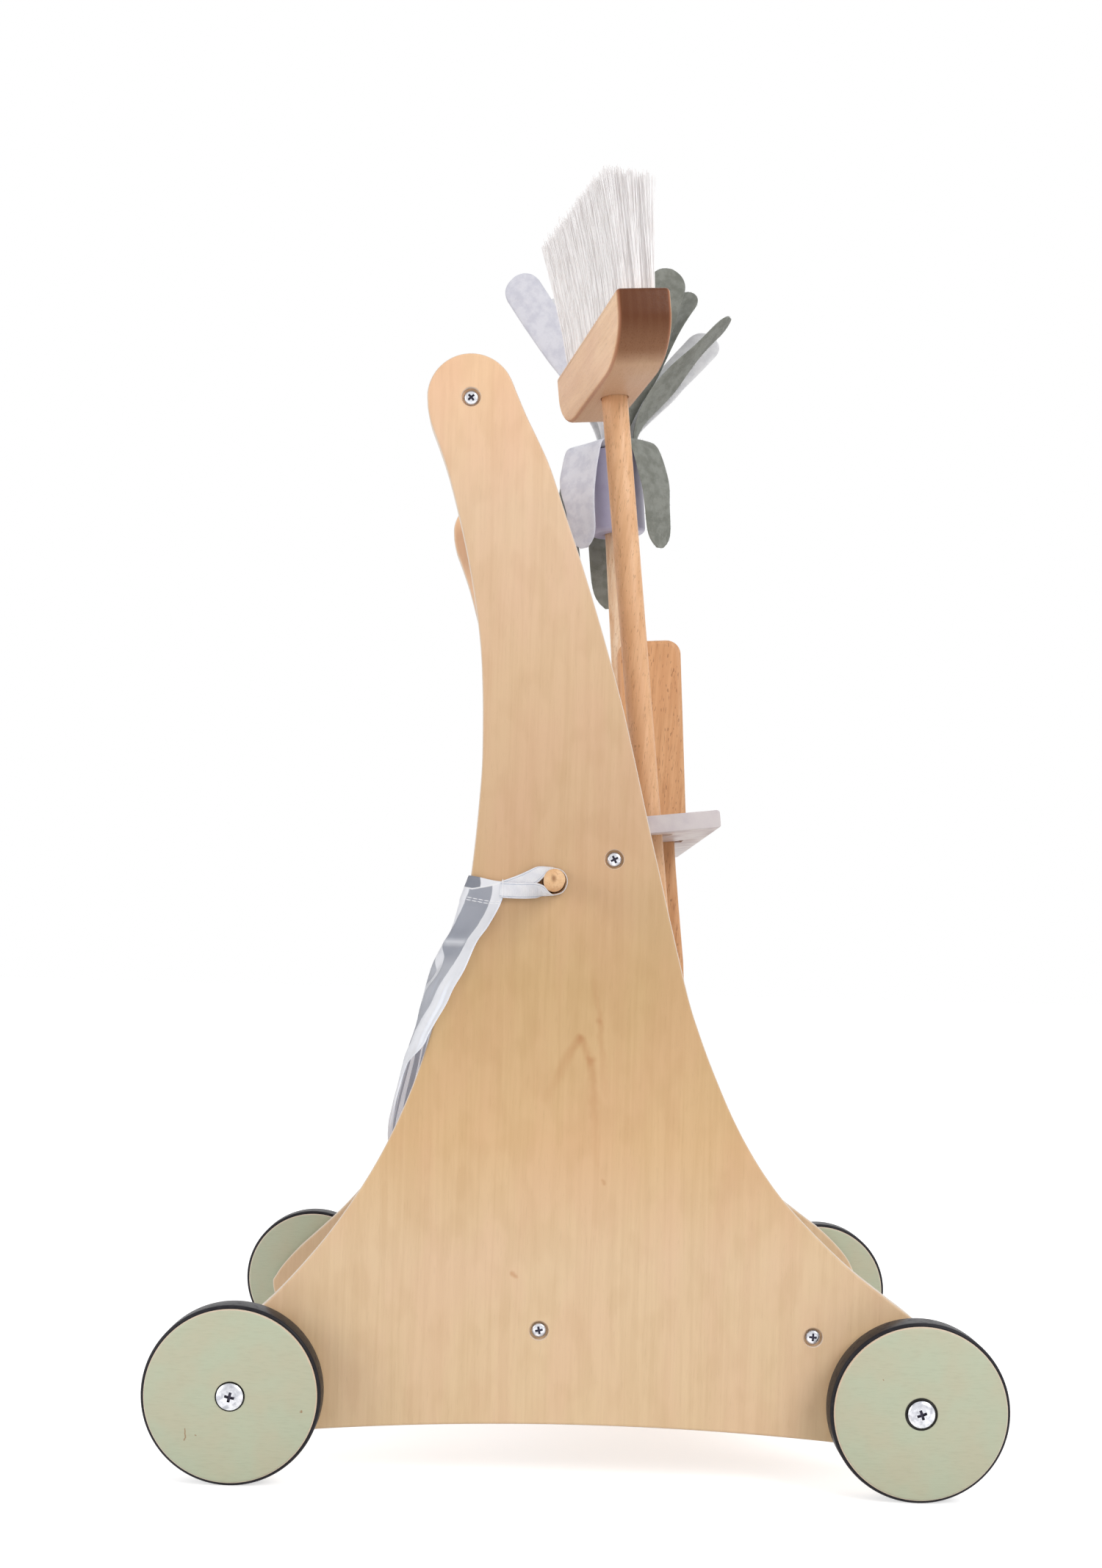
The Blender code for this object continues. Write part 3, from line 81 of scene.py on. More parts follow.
class Nodes:
    """A node tree being wired. Inputs take values or other outputs, and sums give outputs."""

    def __init__(self, tree):
        self.tree = tree

    def feed(self, node, inputs):
        for socket, value in inputs.items():
            if isinstance(value, bpy.types.NodeSocket):
                self.tree.links.new(value, node.inputs[socket])
            else:
                node.inputs[socket].default_value = value

    def add(self, kind, inputs=None, **settings):
        node = self.tree.nodes.new(kind)
        for name, value in settings.items():
            setattr(node, name, value)
        self.feed(node, inputs or {})
        return node

    def sums(self, operation, first, second=0.0, third=0.0, clamp=False):
        return self.add("ShaderNodeMath", {0: first, 1: second, 2: third}, operation=operation,
                        use_clamp=clamp).outputs[0]

    def times(self, first, second):
        return self.sums("MULTIPLY", first, second)

    def vector(self, operation, first, second=(0, 0, 0), scale=1.0, out=0):
        return self.add("ShaderNodeVectorMath", {0: first, 1: second, 3: scale},
                        operation=operation).outputs[out]

    def stretched(self, vector, factors):
        """The vector with each axis scaled, which draws a pattern out along small factors."""
        return self.vector("MULTIPLY", vector, factors)

    def combined(self, x=0.0, y=0.0, z=0.0):
        return self.add("ShaderNodeCombineXYZ", {"X": x, "Y": y, "Z": z}).outputs[0]

    def axes(self, vector):
        return self.add("ShaderNodeSeparateXYZ", {0: vector}).outputs

    def span(self, value, low, high, to_low=0.0, to_high=1.0, curve="SMOOTHSTEP"):
        """A value's place between low and high, eased."""
        return self.add("ShaderNodeMapRange",
                        {"Value": value, "From Min": low, "From Max": high, "To Min": to_low,
                         "To Max": to_high}, interpolation_type=curve).outputs[0]

    def mix(self, share, first, second, blend="MIX"):
        """Two colours mixed by a share."""
        return self.add("ShaderNodeMix", {0: share, 6: first, 7: second}, data_type="RGBA",
                        blend_type=blend).outputs[2]

    def speckle(self, vector, scale, detail=2.0, rough=0.5, warp=0.0, out="Fac"):
        """Soft random spots, this many to the metre."""
        return self.add("ShaderNodeTexNoise",
                        {"Vector": vector, "Scale": scale, "Detail": detail, "Roughness": rough,
                         "Distortion": warp}).outputs[out]

    def where(self, what="Object"):
        return self.add("ShaderNodeTexCoord").outputs[what]

    def mapped(self, vector, turn=(0, 0, 0), shift=(0, 0, 0), **settings):
        return self.add("ShaderNodeMapping", {0: vector, 1: shift, 2: turn},
                        **settings).outputs[0]

    def either_ray(self):
        """One for what the camera sees straight on or in polished metal, else nothing."""
        ray = self.add("ShaderNodeLightPath").outputs
        seen = self.sums("MAXIMUM", ray["Is Camera Ray"], ray["Is Glossy Ray"])
        return self.sums("MAXIMUM", seen, ray["Is Transmission Ray"])

    def group(self, group, inputs):
        return self.add("ShaderNodeGroup", inputs, node_tree=group).outputs

    def dress(self, colour, roughness, height, depth):
        """Feed the Principled shader, and give back its material. The depth is metres from
        the height's low to its high."""
        bump = self.add("ShaderNodeBump", {"Height": height, "Distance": depth, "Strength": 1.0})
        self.feed(self.shader, {"Base Color": colour, "Normal": bump.outputs[0]})
        if roughness is not None:
            self.feed(self.shader, {"Roughness": roughness})
        return self.material

    def grow(self, geometry, finish):
        """End a geometry tree in real copies of one finish."""
        real = self.add("GeometryNodeRealizeInstances", {0: geometry}).outputs[0]
        done = self.add("GeometryNodeSetMaterial", {"Geometry": real, "Material": finish})
        self.add("NodeGroupOutput", {0: done.outputs[0]})
        return self.tree


def linked(thing):
    bpy.context.scene.collection.objects.link(thing)
    return thing


room = bpy.data.worlds.new("room")
bpy.context.scene.world = room
room.use_nodes = True
nodes = Nodes(room.node_tree)
nodes.feed(room.node_tree.nodes["Background"], {
    "Strength": nodes.span(nodes.either_ray(), 0.0, 1.0, ROOM_GLOW, 1.0, "LINEAR"),
    "Color": (1, 1, 1, 1)})

for name, spot, size, watts in SOFT_PANELS:
    lamp = bpy.data.lights.new(name, "AREA")
    lamp.shape = "DISK"
    lamp.size = size
    lamp.energy = watts
    panel = linked(bpy.data.objects.new(name, lamp))
    panel.location = spot
    panel.rotation_euler = (Vector(spot) - LIT_SPOT).to_track_quat("Z", "Y").to_euler()

sweep = bpy.data.materials.new("white_sweep")
sweep.use_nodes = True
nodes = Nodes(sweep.node_tree)
nodes.tree.nodes.clear()
matt = nodes.add("ShaderNodeBsdfDiffuse", {"Color": (FLOOR_WHITE, FLOOR_WHITE, FLOOR_WHITE, 1)})
lift = nodes.add("ShaderNodeEmission", {"Strength": nodes.times(nodes.either_ray(), FLOOR_LIFT)})
both = nodes.add("ShaderNodeAddShader", {0: matt.outputs[0], 1: lift.outputs[0]})
nodes.add("ShaderNodeOutputMaterial", {"Surface": both.outputs[0]})

bm = bmesh.new()
bmesh.ops.create_grid(bm, x_segments=1, y_segments=1, size=FLOOR_SIZE)
mesh = bpy.data.meshes.new("floor")
bm.to_mesh(mesh)
bm.free()
mesh.materials.append(sweep)
floor = linked(bpy.data.objects.new("floor", mesh))


# Side panels
# Two A-shaped boards of 12 mm birch plywood, nine veneers thick, sawn to shape, rounded over
# all round and clear lacquered. They are drilled for the screws, the pegs and the axles.
def srgb(*channels):
    """A colour as a screen shows it, 0 to 255, in the linear values that shaders take."""
    line = [c / 12.92 if c <= 0.04045 else ((c + 0.055) / 1.055) ** 2.4
            for c in (channel / 255 for channel in channels)]
    return (*line, 1.0)


SIDES = {"right": -1, "left": 1}
PANEL_OUTSIDE = 0.149
PANEL_INSIDE = 0.137
PLY_THICKNESS = 0.012
PANEL_ROUNDING = 0.0012
OUTLINE_STEPS = 4
ROUNDING_STEPS = 4
HOLD = 0.0004
HOLE_SIDES = 48
HOLE_CHAMFER = 0.0003
CUT_OVER = 0.002
CUT_THROUGH = 0.02
SCREW_HEAD_RADIUS = 0.0033
SCREW_SINK = 0.0025
SINK_RADIUS = 0.0042
SCREW_BORE = 0.0023
PEG_BORE = 0.0049
PEG_BORE_DEPTH = 0.008
AXLE_BORE = 0.0043
PLIES = 9
BIRCH_PALE = srgb(230, 199, 163)
BIRCH_DEEP = srgb(205, 168, 128)
BIRCH_PINK = srgb(232, 190, 162)
BIRCH_EDGE = srgb(238, 226, 214)
GLUE_LINE = srgb(196, 166, 136)
PLY_RELIEF = 0.00004
PLY_FIBRES = 900.0
STREAK_WANDER = 160.0
FIGURE_BROWN = srgb(150, 104, 64)
FIGURE_AMBER = srgb(184, 112, 60)
# The panel's tone at each height, lighter at the foot and the head, darker and yellower in the
# middle: height, then how much red, green and blue it gives back
PANEL_TONES_BY_HEIGHT = ((0.02, 1.0, 1.02, 0.98), (0.10, 1.0, 1.01, 0.99), (0.15, 0.93, 0.86, 0.72),
                (0.22, 0.80, 0.74, 0.58), (0.29, 0.84, 0.785, 0.73), (0.36, 0.92, 0.885, 0.85),
                (0.43, 1.01, 1.0, 1.03), (0.49, 1.13, 1.05, 1.02))
LIGHTEST_PANEL_TONE = 1.15
# Streaks of the figure on the right panel: from, to (x, z), width, strength and fade at the end
FIGURE = (
    ((-0.0018, 0.197), (-0.016, 0.170), 0.0019, 0.3, 0.85),
    ((-0.0018, 0.197), (0.0032, 0.187), 0.0020, 0.26, 0.0),
    ((0.0032, 0.187), (0.0069, 0.142), 0.0018, 0.26, 0.8),
    ((0.0069, 0.2036), (0.003, 0.226), 0.0015, 0.2, 0.8),
    ((0.0069, 0.2036), (0.0103, 0.171), 0.0014, 0.2, 0.8),
    ((0.0103, 0.134), (0.0105, 0.133), 0.0011, 0.3, 0.0),
    ((-0.0285, 0.0915), (-0.0275, 0.0905), 0.0012, 0.4, 0.0),
)


def new_group(name, family, inputs, outputs):
    """A node group with named sockets: (name, kind, start value) in, (name, kind) out."""
    nodes = Nodes(bpy.data.node_groups.new(name, family))
    for label, kind, value in inputs:
        socket = nodes.tree.interface.new_socket(label, in_out="INPUT",
                                                 socket_type="NodeSocket" + kind)
        if value is not None:
            socket.default_value = value
    for label, kind in outputs:
        nodes.tree.interface.new_socket(label, in_out="OUTPUT", socket_type="NodeSocket" + kind)
    return nodes, nodes.add("NodeGroupInput").outputs


def wood_grain_group():
    """Grain of a sawn or turned wood. The grain runs along the vector's Z axis."""
    t, given = new_group(
        "wood_grain", "ShaderNodeTree",
        [("Vector", "Vector", (0, 0, 0)), ("Pale", "Color", (1, 1, 1, 1)),
         ("Deep", "Color", (0.5, 0.5, 0.5, 1)), ("Warm", "Color", (1, 1, 1, 1)),
         ("Lines", "Float", 420.0), ("Contrast", "Float", 0.5), ("Mottle", "Float", 0.3),
         ("Pores", "Float", 0.3), ("Flecks", "Float", 0.0)],
        [("Color", "Color"), ("Roughness", "Float"), ("Height", "Float")])

    def patches(stretch, scale, detail, low, high):
        place = t.stretched(given["Vector"], (1, 1, stretch))
        return t.span(t.speckle(place, scale, detail), low, high)

    lines = t.vector("SCALE", t.stretched(given["Vector"], (1, 1, 0.035)), scale=given["Lines"])
    lines = t.span(t.speckle(lines, 1.0, 4.0, 0.6, 0.5), 0.34, 0.68)
    cloud = patches(0.3, 55.0, 2.0, 0.38, 0.66)
    blush = patches(0.45, 130.0, 1.0, 0.45, 0.7)
    pores = patches(0.06, 2600.0, 1.0, 0.63, 0.72)
    flecks = patches(0.3, 1300.0, 0.0, 0.72, 0.8)
    colour = t.mix(t.times(lines, given["Contrast"]), given["Pale"], given["Deep"])
    colour = t.mix(t.times(cloud, given["Mottle"]), colour, given["Warm"])
    colour = t.mix(t.times(blush, t.times(given["Mottle"], 0.6)), colour, given["Deep"])
    marks = t.sums("MAXIMUM", t.times(pores, given["Pores"]), t.times(flecks, given["Flecks"]))
    dark = t.mix(1.0, given["Deep"], (0.45, 0.36, 0.3, 1), "MULTIPLY")
    t.add("NodeGroupOutput", {"Color": t.mix(marks, colour, dark),
                              "Roughness": t.span(lines, 0, 1, 0.42, 0.56, "LINEAR"),
                              "Height": t.sums("SUBTRACT", t.times(lines, 0.5), marks)})
    return t.tree


def streak_group():
    """A soft streak between two points, with wandering sides, as a mask."""
    t, given = new_group(
        "wood_streak", "ShaderNodeTree",
        [("Vector", "Vector", (0, 0, 0)), ("From", "Vector", (0, 0, 0)),
         ("To", "Vector", (0, 0, 1)), ("Width", "Float", 0.001), ("Strength", "Float", 0.5),
         ("Fade", "Float", 0.0)],
        [("Mask", "Float")])
    wander = t.vector("SUBTRACT", t.speckle(given["Vector"], STREAK_WANDER, out="Color"),
                      (0.5, 0.5, 0.5))
    spot = t.vector("ADD", given["Vector"], t.vector("SCALE", wander, scale=0.004))
    way = t.vector("SUBTRACT", given["To"], given["From"])
    off = t.vector("SUBTRACT", t.stretched(spot, (1, 0, 1)), given["From"])
    share = t.sums("DIVIDE", t.vector("DOT_PRODUCT", off, way, out="Value"),
                   t.vector("DOT_PRODUCT", way, way, out="Value"), clamp=True)
    away = t.vector("DISTANCE", off, t.vector("SCALE", way, scale=share), out="Value")
    mask = t.span(t.sums("DIVIDE", away, given["Width"]), 1.6, 0.1)
    fade = t.sums("SUBTRACT", 1.0, t.times(share, given["Fade"]))
    t.add("NodeGroupOutput", {"Mask": t.times(mask, t.times(fade, given["Strength"]))})
    return t.tree


wood_grain, wood_streak = wood_grain_group(), streak_group()


def grained(t, vector, pale, deep, warm, **shares):
    """The wood grain at a vector, as its Color, Roughness and Height."""
    return t.group(wood_grain, {"Vector": vector, "Pale": pale, "Deep": deep, "Warm": warm,
                                **{name.title(): share for name, share in shares.items()}})


def streak(t, vector, start, end, width, strength, fade=0.0):
    """A streak's mask between two (x, z) points."""
    return t.group(wood_streak, {
        "Vector": vector, "From": (start[0], 0, start[1]), "To": (end[0], 0, end[1]),
        "Width": width, "Strength": strength, "Fade": fade})["Mask"]


def new_finish(name, roughness=0.5, metallic=0.0, specular=0.5):
    """The nodes of a new material with one Principled shader."""
    material = bpy.data.materials.new(name)
    material.use_nodes = True
    t = Nodes(material.node_tree)
    t.material, t.shader = material, material.node_tree.nodes["Principled BSDF"]
    t.feed(t.shader, {"Roughness": roughness, "Metallic": metallic,
                      "Specular IOR Level": specular})
    return t


def veneers(t, depth, shade, facing):
    """The sawn edge of stacked veneers: its colour, and a mask of where it shows."""
    edge = t.mix(t.times(t.sums("PINGPONG", depth, 1.0), shade), BIRCH_EDGE, BIRCH_DEEP)
    glue = t.span(t.sums("PINGPONG", depth, 0.5), 0.12, 0.02)
    edge = t.mix(t.times(glue, 0.55), edge, GLUE_LINE)
    return edge, t.span(t.sums("ABSOLUTE", facing), 0.86, 0.6)


def birch_ply(name, shift, figure=()):
    """Lacquered birch plywood standing in the X-Z plane, its veneers stacked along Y."""
    t = new_finish(name, specular=0.35)
    here = t.where()
    grain = grained(t, t.mapped(here, shift=shift), BIRCH_PALE, BIRCH_DEEP, BIRCH_PINK,
                    lines=300.0, contrast=0.26, mottle=0.3, pores=0.06)
    colour = grain["Color"]
    for start, end, width, strength, fade in figure:
        colour = t.mix(streak(t, here, start, end, width, strength, fade), colour, FIGURE_AMBER)
    tone = t.add("ShaderNodeValToRGB", {"Fac": t.times(t.axes(here)["Z"], 2.0)})
    stops = tone.color_ramp.elements
    while len(stops) < len(PANEL_TONES_BY_HEIGHT):
        stops.new(0.5)
    for stop, (height, *light) in zip(stops, PANEL_TONES_BY_HEIGHT):
        stop.position = height * 2
        stop.color = (*(part / LIGHTEST_PANEL_TONE for part in light), 1)
    lit = t.vector("SCALE", t.mix(1.0, colour, tone.outputs[0], "MULTIPLY"),
                   scale=LIGHTEST_PANEL_TONE)
    depth = t.sums("SUBTRACT", t.sums("ABSOLUTE", t.axes(here)["Y"]), PANEL_INSIDE)
    fibres = t.speckle(t.stretched(here, (1, 6, 1)), PLY_FIBRES, 2.0)
    edge, sawn = veneers(t, t.times(depth, PLIES / PLY_THICKNESS), t.times(fibres, 0.9),
                         t.axes(t.where("Normal"))["Y"])
    return t.dress(t.mix(sawn, lit, edge), grain["Roughness"], grain["Height"], PLY_RELIEF)


def rim_of(node, level):
    """The closed line of a CAD board's edges at y = level, as (x, z) points in order."""
    bm = bmesh.new()
    bm.from_mesh(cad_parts[node].data)
    bmesh.ops.remove_doubles(bm, verts=bm.verts, dist=1e-6)
    beside = {}
    for edge in bm.edges:
        if all(abs(corner.co.y - level) < 1e-5 for corner in edge.verts):
            for corner in edge.verts:
                beside.setdefault(corner, []).append(edge.other_vert(corner))
    start = max(beside, key=lambda corner: corner.co.z)
    line, before, here = [], None, start
    while not line or here is not start:
        line.append(Vector((here.co.x, here.co.z)))
        before, here = here, next(other for other in beside[here] if other is not before)
    bm.free()
    return line


def eased_line(values, steps, closed=False):
    """A smooth run through vectors, each span cut into steps. A closed one comes round."""
    line, count = [], len(values)
    for index in range(count if closed else count - 1):
        before, start, end, after = (
            values[k % count if closed else min(max(k, 0), count - 1)]
            for k in range(index - 1, index + 3))
        for step in range(steps):
            t = step / steps
            line.append(0.5 * (2 * start + (end - before) * t
                               + (2 * before - 5 * start + 4 * end - after) * t ** 2
                               + (3 * start - before - 3 * end + after) * t ** 3))
    return line if closed else line + [values[-1]]


def drawn_in(points, inset):
    """A closed (x, z) line moved inwards by the inset, corners kept square."""
    turning = sum(a.x * b.y - b.x * a.y for a, b in zip(points, points[1:] + points[:1]))
    hand = 1 if turning > 0 else -1
    moved = []
    for index, point in enumerate(points):
        into = (point - points[index - 1]).normalized()
        out = (points[(index + 1) % len(points)] - point).normalized()
        first, second = Vector((-into.y, into.x)), Vector((-out.y, out.x))
        middle = (first + second).normalized()
        moved.append(point + middle * hand * inset / max(middle.dot(first), 0.5))
    return moved


def quarter(steps, first=0):
    """The sine and cosine at even steps of a quarter turn."""
    turns = [math.pi / 2 * step / steps for step in range(first, steps + 1)]
    return [(math.sin(turn), math.cos(turn)) for turn in turns]


def skin(bm, rings):
    """Close a run of rings into a solid."""
    for first, second in zip(rings, rings[1:]):
        for k in range(len(first)):
            after = (k + 1) % len(first)
            bm.faces.new((first[k], first[after], second[after], second[k]))
    bm.faces.new(rings[0])
    bm.faces.new(rings[-1])
    bmesh.ops.recalc_face_normals(bm, faces=bm.faces)


def rounded_board(outline, low, high, rounding, hold=HOLD, place=Matrix.Identity(4)):
    """A board from an outline of (x, z) points, thick along Y, its edges rounded over."""
    outline = [Vector(point) for point in outline]
    near = [(rounding + hold, 0)]
    near += [(rounding * (1 - sine), rounding * (1 - cosine))
             for sine, cosine in quarter(ROUNDING_STEPS)]
    rings = [(inset, low + rise) for inset, rise in near]
    rings += [(inset, high - rise) for inset, rise in reversed(near)]
    bm = bmesh.new()
    skin(bm, [[bm.verts.new(place @ Vector((p.x, y, p.y))) for p in drawn_in(outline, inset)]
              for inset, y in rings])
    return bm


def facing(direction, spot):
    """A place whose own +Z points in the direction, at the spot."""
    turn = Vector(direction).to_track_quat("Z", "Y").to_matrix().to_4x4()
    return Matrix.Translation(spot) @ turn


def add_lathed(bm, profile, sides, place, closed=False):
    """Turn a profile of (radius, distance along +Z) into a solid at a place."""
    rings = []
    for radius, along in profile:
        turns = [2 * math.pi * k / sides for k in range(sides if radius >= 1e-7 else 1)]
        rings.append([bm.verts.new(place @ Vector((radius * math.cos(turn),
                                                   radius * math.sin(turn), along)))
                      for turn in turns])
    for first, second in list(zip(rings, rings[1:])) + ([(rings[-1], rings[0])] * closed):
        for k in range(sides):
            after = (k + 1) % sides
            if len(first) == 1:
                bm.faces.new((first[0], second[after], second[k]))
            elif len(second) == 1:
                bm.faces.new((first[k], first[after], second[0]))
            else:
                bm.faces.new((first[k], first[after], second[after], second[k]))
    bmesh.ops.recalc_face_normals(bm, faces=bm.faces)


def smoothed(mesh, crease):
    mesh.shade_smooth()
    mesh.set_sharp_from_angle(angle=math.radians(crease))


def shown(name, bm, *materials, crease=35):
    """Make a mesh object of a finished bmesh, smooth but for its sharp creases."""
    mesh = bpy.data.meshes.new(name)
    bm.to_mesh(mesh)
    bm.free()
    for material in materials:
        mesh.materials.append(material)
    smoothed(mesh, crease)
    return linked(bpy.data.objects.new(name, mesh))


def turned(name, profile, sides, place, material, closed=False, crease=35):
    """A lathed piece."""
    bm = bmesh.new()
    add_lathed(bm, profile, sides, place, closed)
    return shown(name, bm, material, crease=crease)


def applied(thing):
    """Keep what a piece's modifiers make as its plain mesh."""
    made = thing.evaluated_get(bpy.context.evaluated_depsgraph_get())
    mesh = bpy.data.meshes.new_from_object(made)
    thing.modifiers.clear()
    thing.data = mesh
    return thing


def bored(thing, bm, crease=35):
    """Cut the shapes in bm out of a piece."""
    cutter = shown(thing.name + "_cutter", bm, *thing.data.materials)
    boolean = thing.modifiers.new("bores", "BOOLEAN")
    boolean.operation = "DIFFERENCE"
    boolean.solver = "EXACT"
    boolean.object = cutter
    smoothed(applied(thing).data, crease)
    bpy.data.objects.remove(cutter, do_unlink=True)


def bore(bm, radius, depth, direction, spot):
    """A plain hole into a face at a spot, its edge broken."""
    flare = radius + HOLE_CHAMFER
    add_lathed(bm, [(0, -depth), (radius, -depth), (radius, -HOLE_CHAMFER), (flare, 0),
                    (flare, CUT_OVER), (0, CUT_OVER)], HOLE_SIDES, facing(direction, spot))


def sunk_bore(bm, place):
    """A screw's hole, with the seat that its head is sunk to."""
    seat, flare = -SCREW_SINK - 0.0001, SINK_RADIUS + HOLE_CHAMFER
    add_lathed(bm, [(0, -CUT_THROUGH), (SCREW_BORE, -CUT_THROUGH), (SCREW_BORE, seat),
                    (SINK_RADIUS, seat), (SINK_RADIUS, -HOLE_CHAMFER), (flare, 0),
                    (flare, CUT_OVER), (0, CUT_OVER)], HOLE_SIDES, place)


def middle_of(node):
    low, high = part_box(node)
    return (low + high) / 2


for label, side in SIDES.items():
    outer = side * PANEL_OUTSIDE
    rim = rim_of("side_panel_" + label, outer - side * PANEL_ROUNDING)
    low, high = sorted((outer, side * PANEL_INSIDE))
    panel = shown("panel_" + label, rounded_board(eased_line(rim, OUTLINE_STEPS, closed=True),
                                                  low, high, PANEL_ROUNDING),
                  birch_ply("birch_ply_" + label, (0.31 * side, 0, 0.17 * side),
                            FIGURE if side < 0 else ()))
    bores = bmesh.new()
    for screw in ("handle_screw_", "rail_screw_", "shelf_screw_rear_", "shelf_screw_front_"):
        centre = middle_of(screw + label)
        sunk_bore(bores, facing((0, side, 0), (centre.x, outer, centre.z)))
    for node, radius, depth in (("apron_peg_", PEG_BORE, PEG_BORE_DEPTH),
                                ("sleeve_nut_front_", AXLE_BORE, CUT_THROUGH),
                                ("sleeve_nut_rear_", AXLE_BORE, CUT_THROUGH)):
        centre = middle_of(node + label)
        bore(bores, radius, depth, (0, side, 0), (centre.x, outer, centre.z))
    bored(panel, bores)
    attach(panel, "cart")
    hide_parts("side_panel_" + label)

# Screws
# Zinc-plated pan-head wood screws with a cross recess. Eight are sunk in the panels' faces,
# where they pull the handle, the rail and the shelf tight, and two hold the rack down.
SCREW_HEAD_HEIGHT = 0.0018
SCREW_RADIUS = 0.002
SCREW_SIDES = 36
SCREW_CROWN = 0.0016
# Shares of a head's height: its straight rim and its dome. Then its flat top: width and height
RIM_SHARE = 0.3
DOME_SHARE = 0.6
TOP_SHARES = (0.6, 0.97)
SCREW_CROSS = 0.54
BOLT_CROSS = 0.38
CROSS_WIDTH = 0.55
CROSS_DEPTH = 0.6
CROSS_TAPER = 0.8
SCREW_LENGTH = 0.036
RACK_SCREW_LENGTH = 0.018
RACK_TILT = math.radians(6.5)
ZINC_PALE = srgb(222, 223, 229)
ZINC_DULL = srgb(176, 178, 186)
RECESS_PAINTED_SHADE = srgb(58, 56, 68)
ZINC_RELIEF = 0.00001
ZINC_CLOUDS = 420.0
ZINC_GRAIN = 2600.0
FIRST_TWIST = 0.75
NEXT_TWIST = 1.3
RACK_TWIST = 0.4


def zinc_plate():
    """Bright zinc plating, clouded and scuffed, with painted shade on the floor of its cross
    recess.
    """
    t = new_finish("zinc_plate", 0.24, 1.0)
    here = t.where()
    cloud = t.speckle(here, ZINC_CLOUDS, 3.0)
    # The floor of the cross recess is marked on the mesh and gets painted shade there
    deep = t.add("ShaderNodeAttribute", attribute_name="recess").outputs["Fac"]
    colour = t.mix(t.span(cloud, 0.4, 0.7), ZINC_PALE, ZINC_DULL)
    return t.dress(t.mix(t.span(deep, 0.1, 0.7), colour, RECESS_PAINTED_SHADE),
                   t.span(cloud, 0.3, 0.7, 0.16, 0.36), t.speckle(here, ZINC_GRAIN, 2.0),
                   ZINC_RELIEF)


zinc = zinc_plate()


def cross_headed(name, radius, height, shank, length, crown, reach, pointed):
    """One screw or bolt along +Z: its underside of head at zero, with a cross recess."""
    dome = [(radius, 0), (radius, height * RIM_SHARE)]
    dome += [(crown + (radius - crown) * cosine, height * (RIM_SHARE + DOME_SHARE * sine))
             for sine, cosine in quarter(5, 1)]
    tip = [(0, -length), (shank, (shank * 2 if pointed else 0) - length)]
    top = (crown * TOP_SHARES[0], height * TOP_SHARES[1])
    thing = turned(name, [*tip, (shank, 0), *dome, top, (0, height)], SCREW_SIDES,
                   Matrix.Identity(4), zinc)
    arm, bar = reach * radius, CROSS_WIDTH * reach * radius / 2
    plus = [Matrix.Rotation(math.pi / 2 * turn, 2) @ Vector(corner) for turn in range(4)
            for corner in ((arm, -bar), (arm, bar), (bar, bar))]
    floor_height = height * (1 - CROSS_DEPTH)
    cross = bmesh.new()
    skin(cross, [[cross.verts.new((p.x * wide, p.y * wide, z)) for p in plus]
                 for wide, z in ((CROSS_TAPER, floor_height), (1.0, height * 1.02),
                                 (1.0, height * 2))])
    bored(thing, cross, crease=28)
    # Mark the floor of the cross recess, where the zinc gets painted shade
    thing.data.attributes.new("recess", "FLOAT", "POINT")
    for corner in thing.data.vertices:
        at_floor = abs(corner.co.z - floor_height) < 1e-6 and corner.co.xy.length < arm
        thing.data.attributes["recess"].data[corner.index].value = 1.0 if at_floor else 0.0
    return thing


def named(t, name, kind="FLOAT_VECTOR"):
    return t.add("GeometryNodeInputNamedAttribute", {"Name": name},
                 data_type=kind).outputs["Attribute"]


def fastener_tree():
    """Set a copy of one fastener on each point, turned to its outward direction."""
    t, given = new_group("set_fasteners", "GeometryNodeTree",
                         [("Points", "Geometry", None), ("Fastener", "Object", None),
                          ("Finish", "Material", None)], [("Set", "Geometry")])
    spin = t.add("FunctionNodeAxisAngleToRotation",
                 {"Axis": (0, 0, 1), "Angle": named(t, "twist", "FLOAT")})
    aim = t.add("FunctionNodeAlignRotationToVector", {"Vector": named(t, "outward")}, axis="Z")
    turn = t.add("FunctionNodeRotateRotation",
                 {"Rotation": aim.outputs[0], "Rotate By": spin.outputs[0]},
                 rotation_space="LOCAL")
    one = t.add("GeometryNodeObjectInfo", {"Object": given["Fastener"], "As Instance": True})
    copies = t.add("GeometryNodeInstanceOnPoints",
                   {"Points": given["Points"], "Instance": one.outputs["Geometry"],
                    "Rotation": turn.outputs[0]})
    return t.grow(copies.outputs[0], given["Finish"])


fasteners = fastener_tree()


def grown(thing, tree, **inputs):
    """Run a geometry tree on a piece and keep the result as its plain mesh."""
    modifier = thing.modifiers.new("grown", "NODES")
    modifier.node_group = tree
    for socket in tree.interface.items_tree:
        key = socket.name.lower().replace(" ", "_")
        if socket.in_out == "INPUT" and key in inputs:
            modifier[socket.identifier] = inputs[key]
    return applied(thing)


def dotted(name, spots, **marks):
    """A piece of loose points, each with its marks: numbers or vectors."""
    mesh = bpy.data.meshes.new(name)
    mesh.from_pydata(spots, [], [])
    for label, values in marks.items():
        plain = isinstance(values[0], float)
        mesh.attributes.new(label, "FLOAT" if plain else "FLOAT_VECTOR", "POINT")
        for mark, value in zip(mesh.attributes[label].data, values):
            setattr(mark, "value" if plain else "vector", value)
    return linked(bpy.data.objects.new(name, mesh))


def set_of(name, one, spots):
    """One piece of many fasteners: a copy of one at each (spot, outward direction, twist)."""
    places, directions, twists = zip(*spots)
    thing = dotted(name, places, outward=directions, twist=twists)
    grown(thing, fasteners, fastener=one, finish=zinc)
    bpy.data.objects.remove(one, do_unlink=True)
    return thing


def wood_screw(length):
    return cross_headed("one_screw", SCREW_HEAD_RADIUS, SCREW_HEAD_HEIGHT, SCREW_RADIUS, length,
                        SCREW_CROWN, SCREW_CROSS, True)


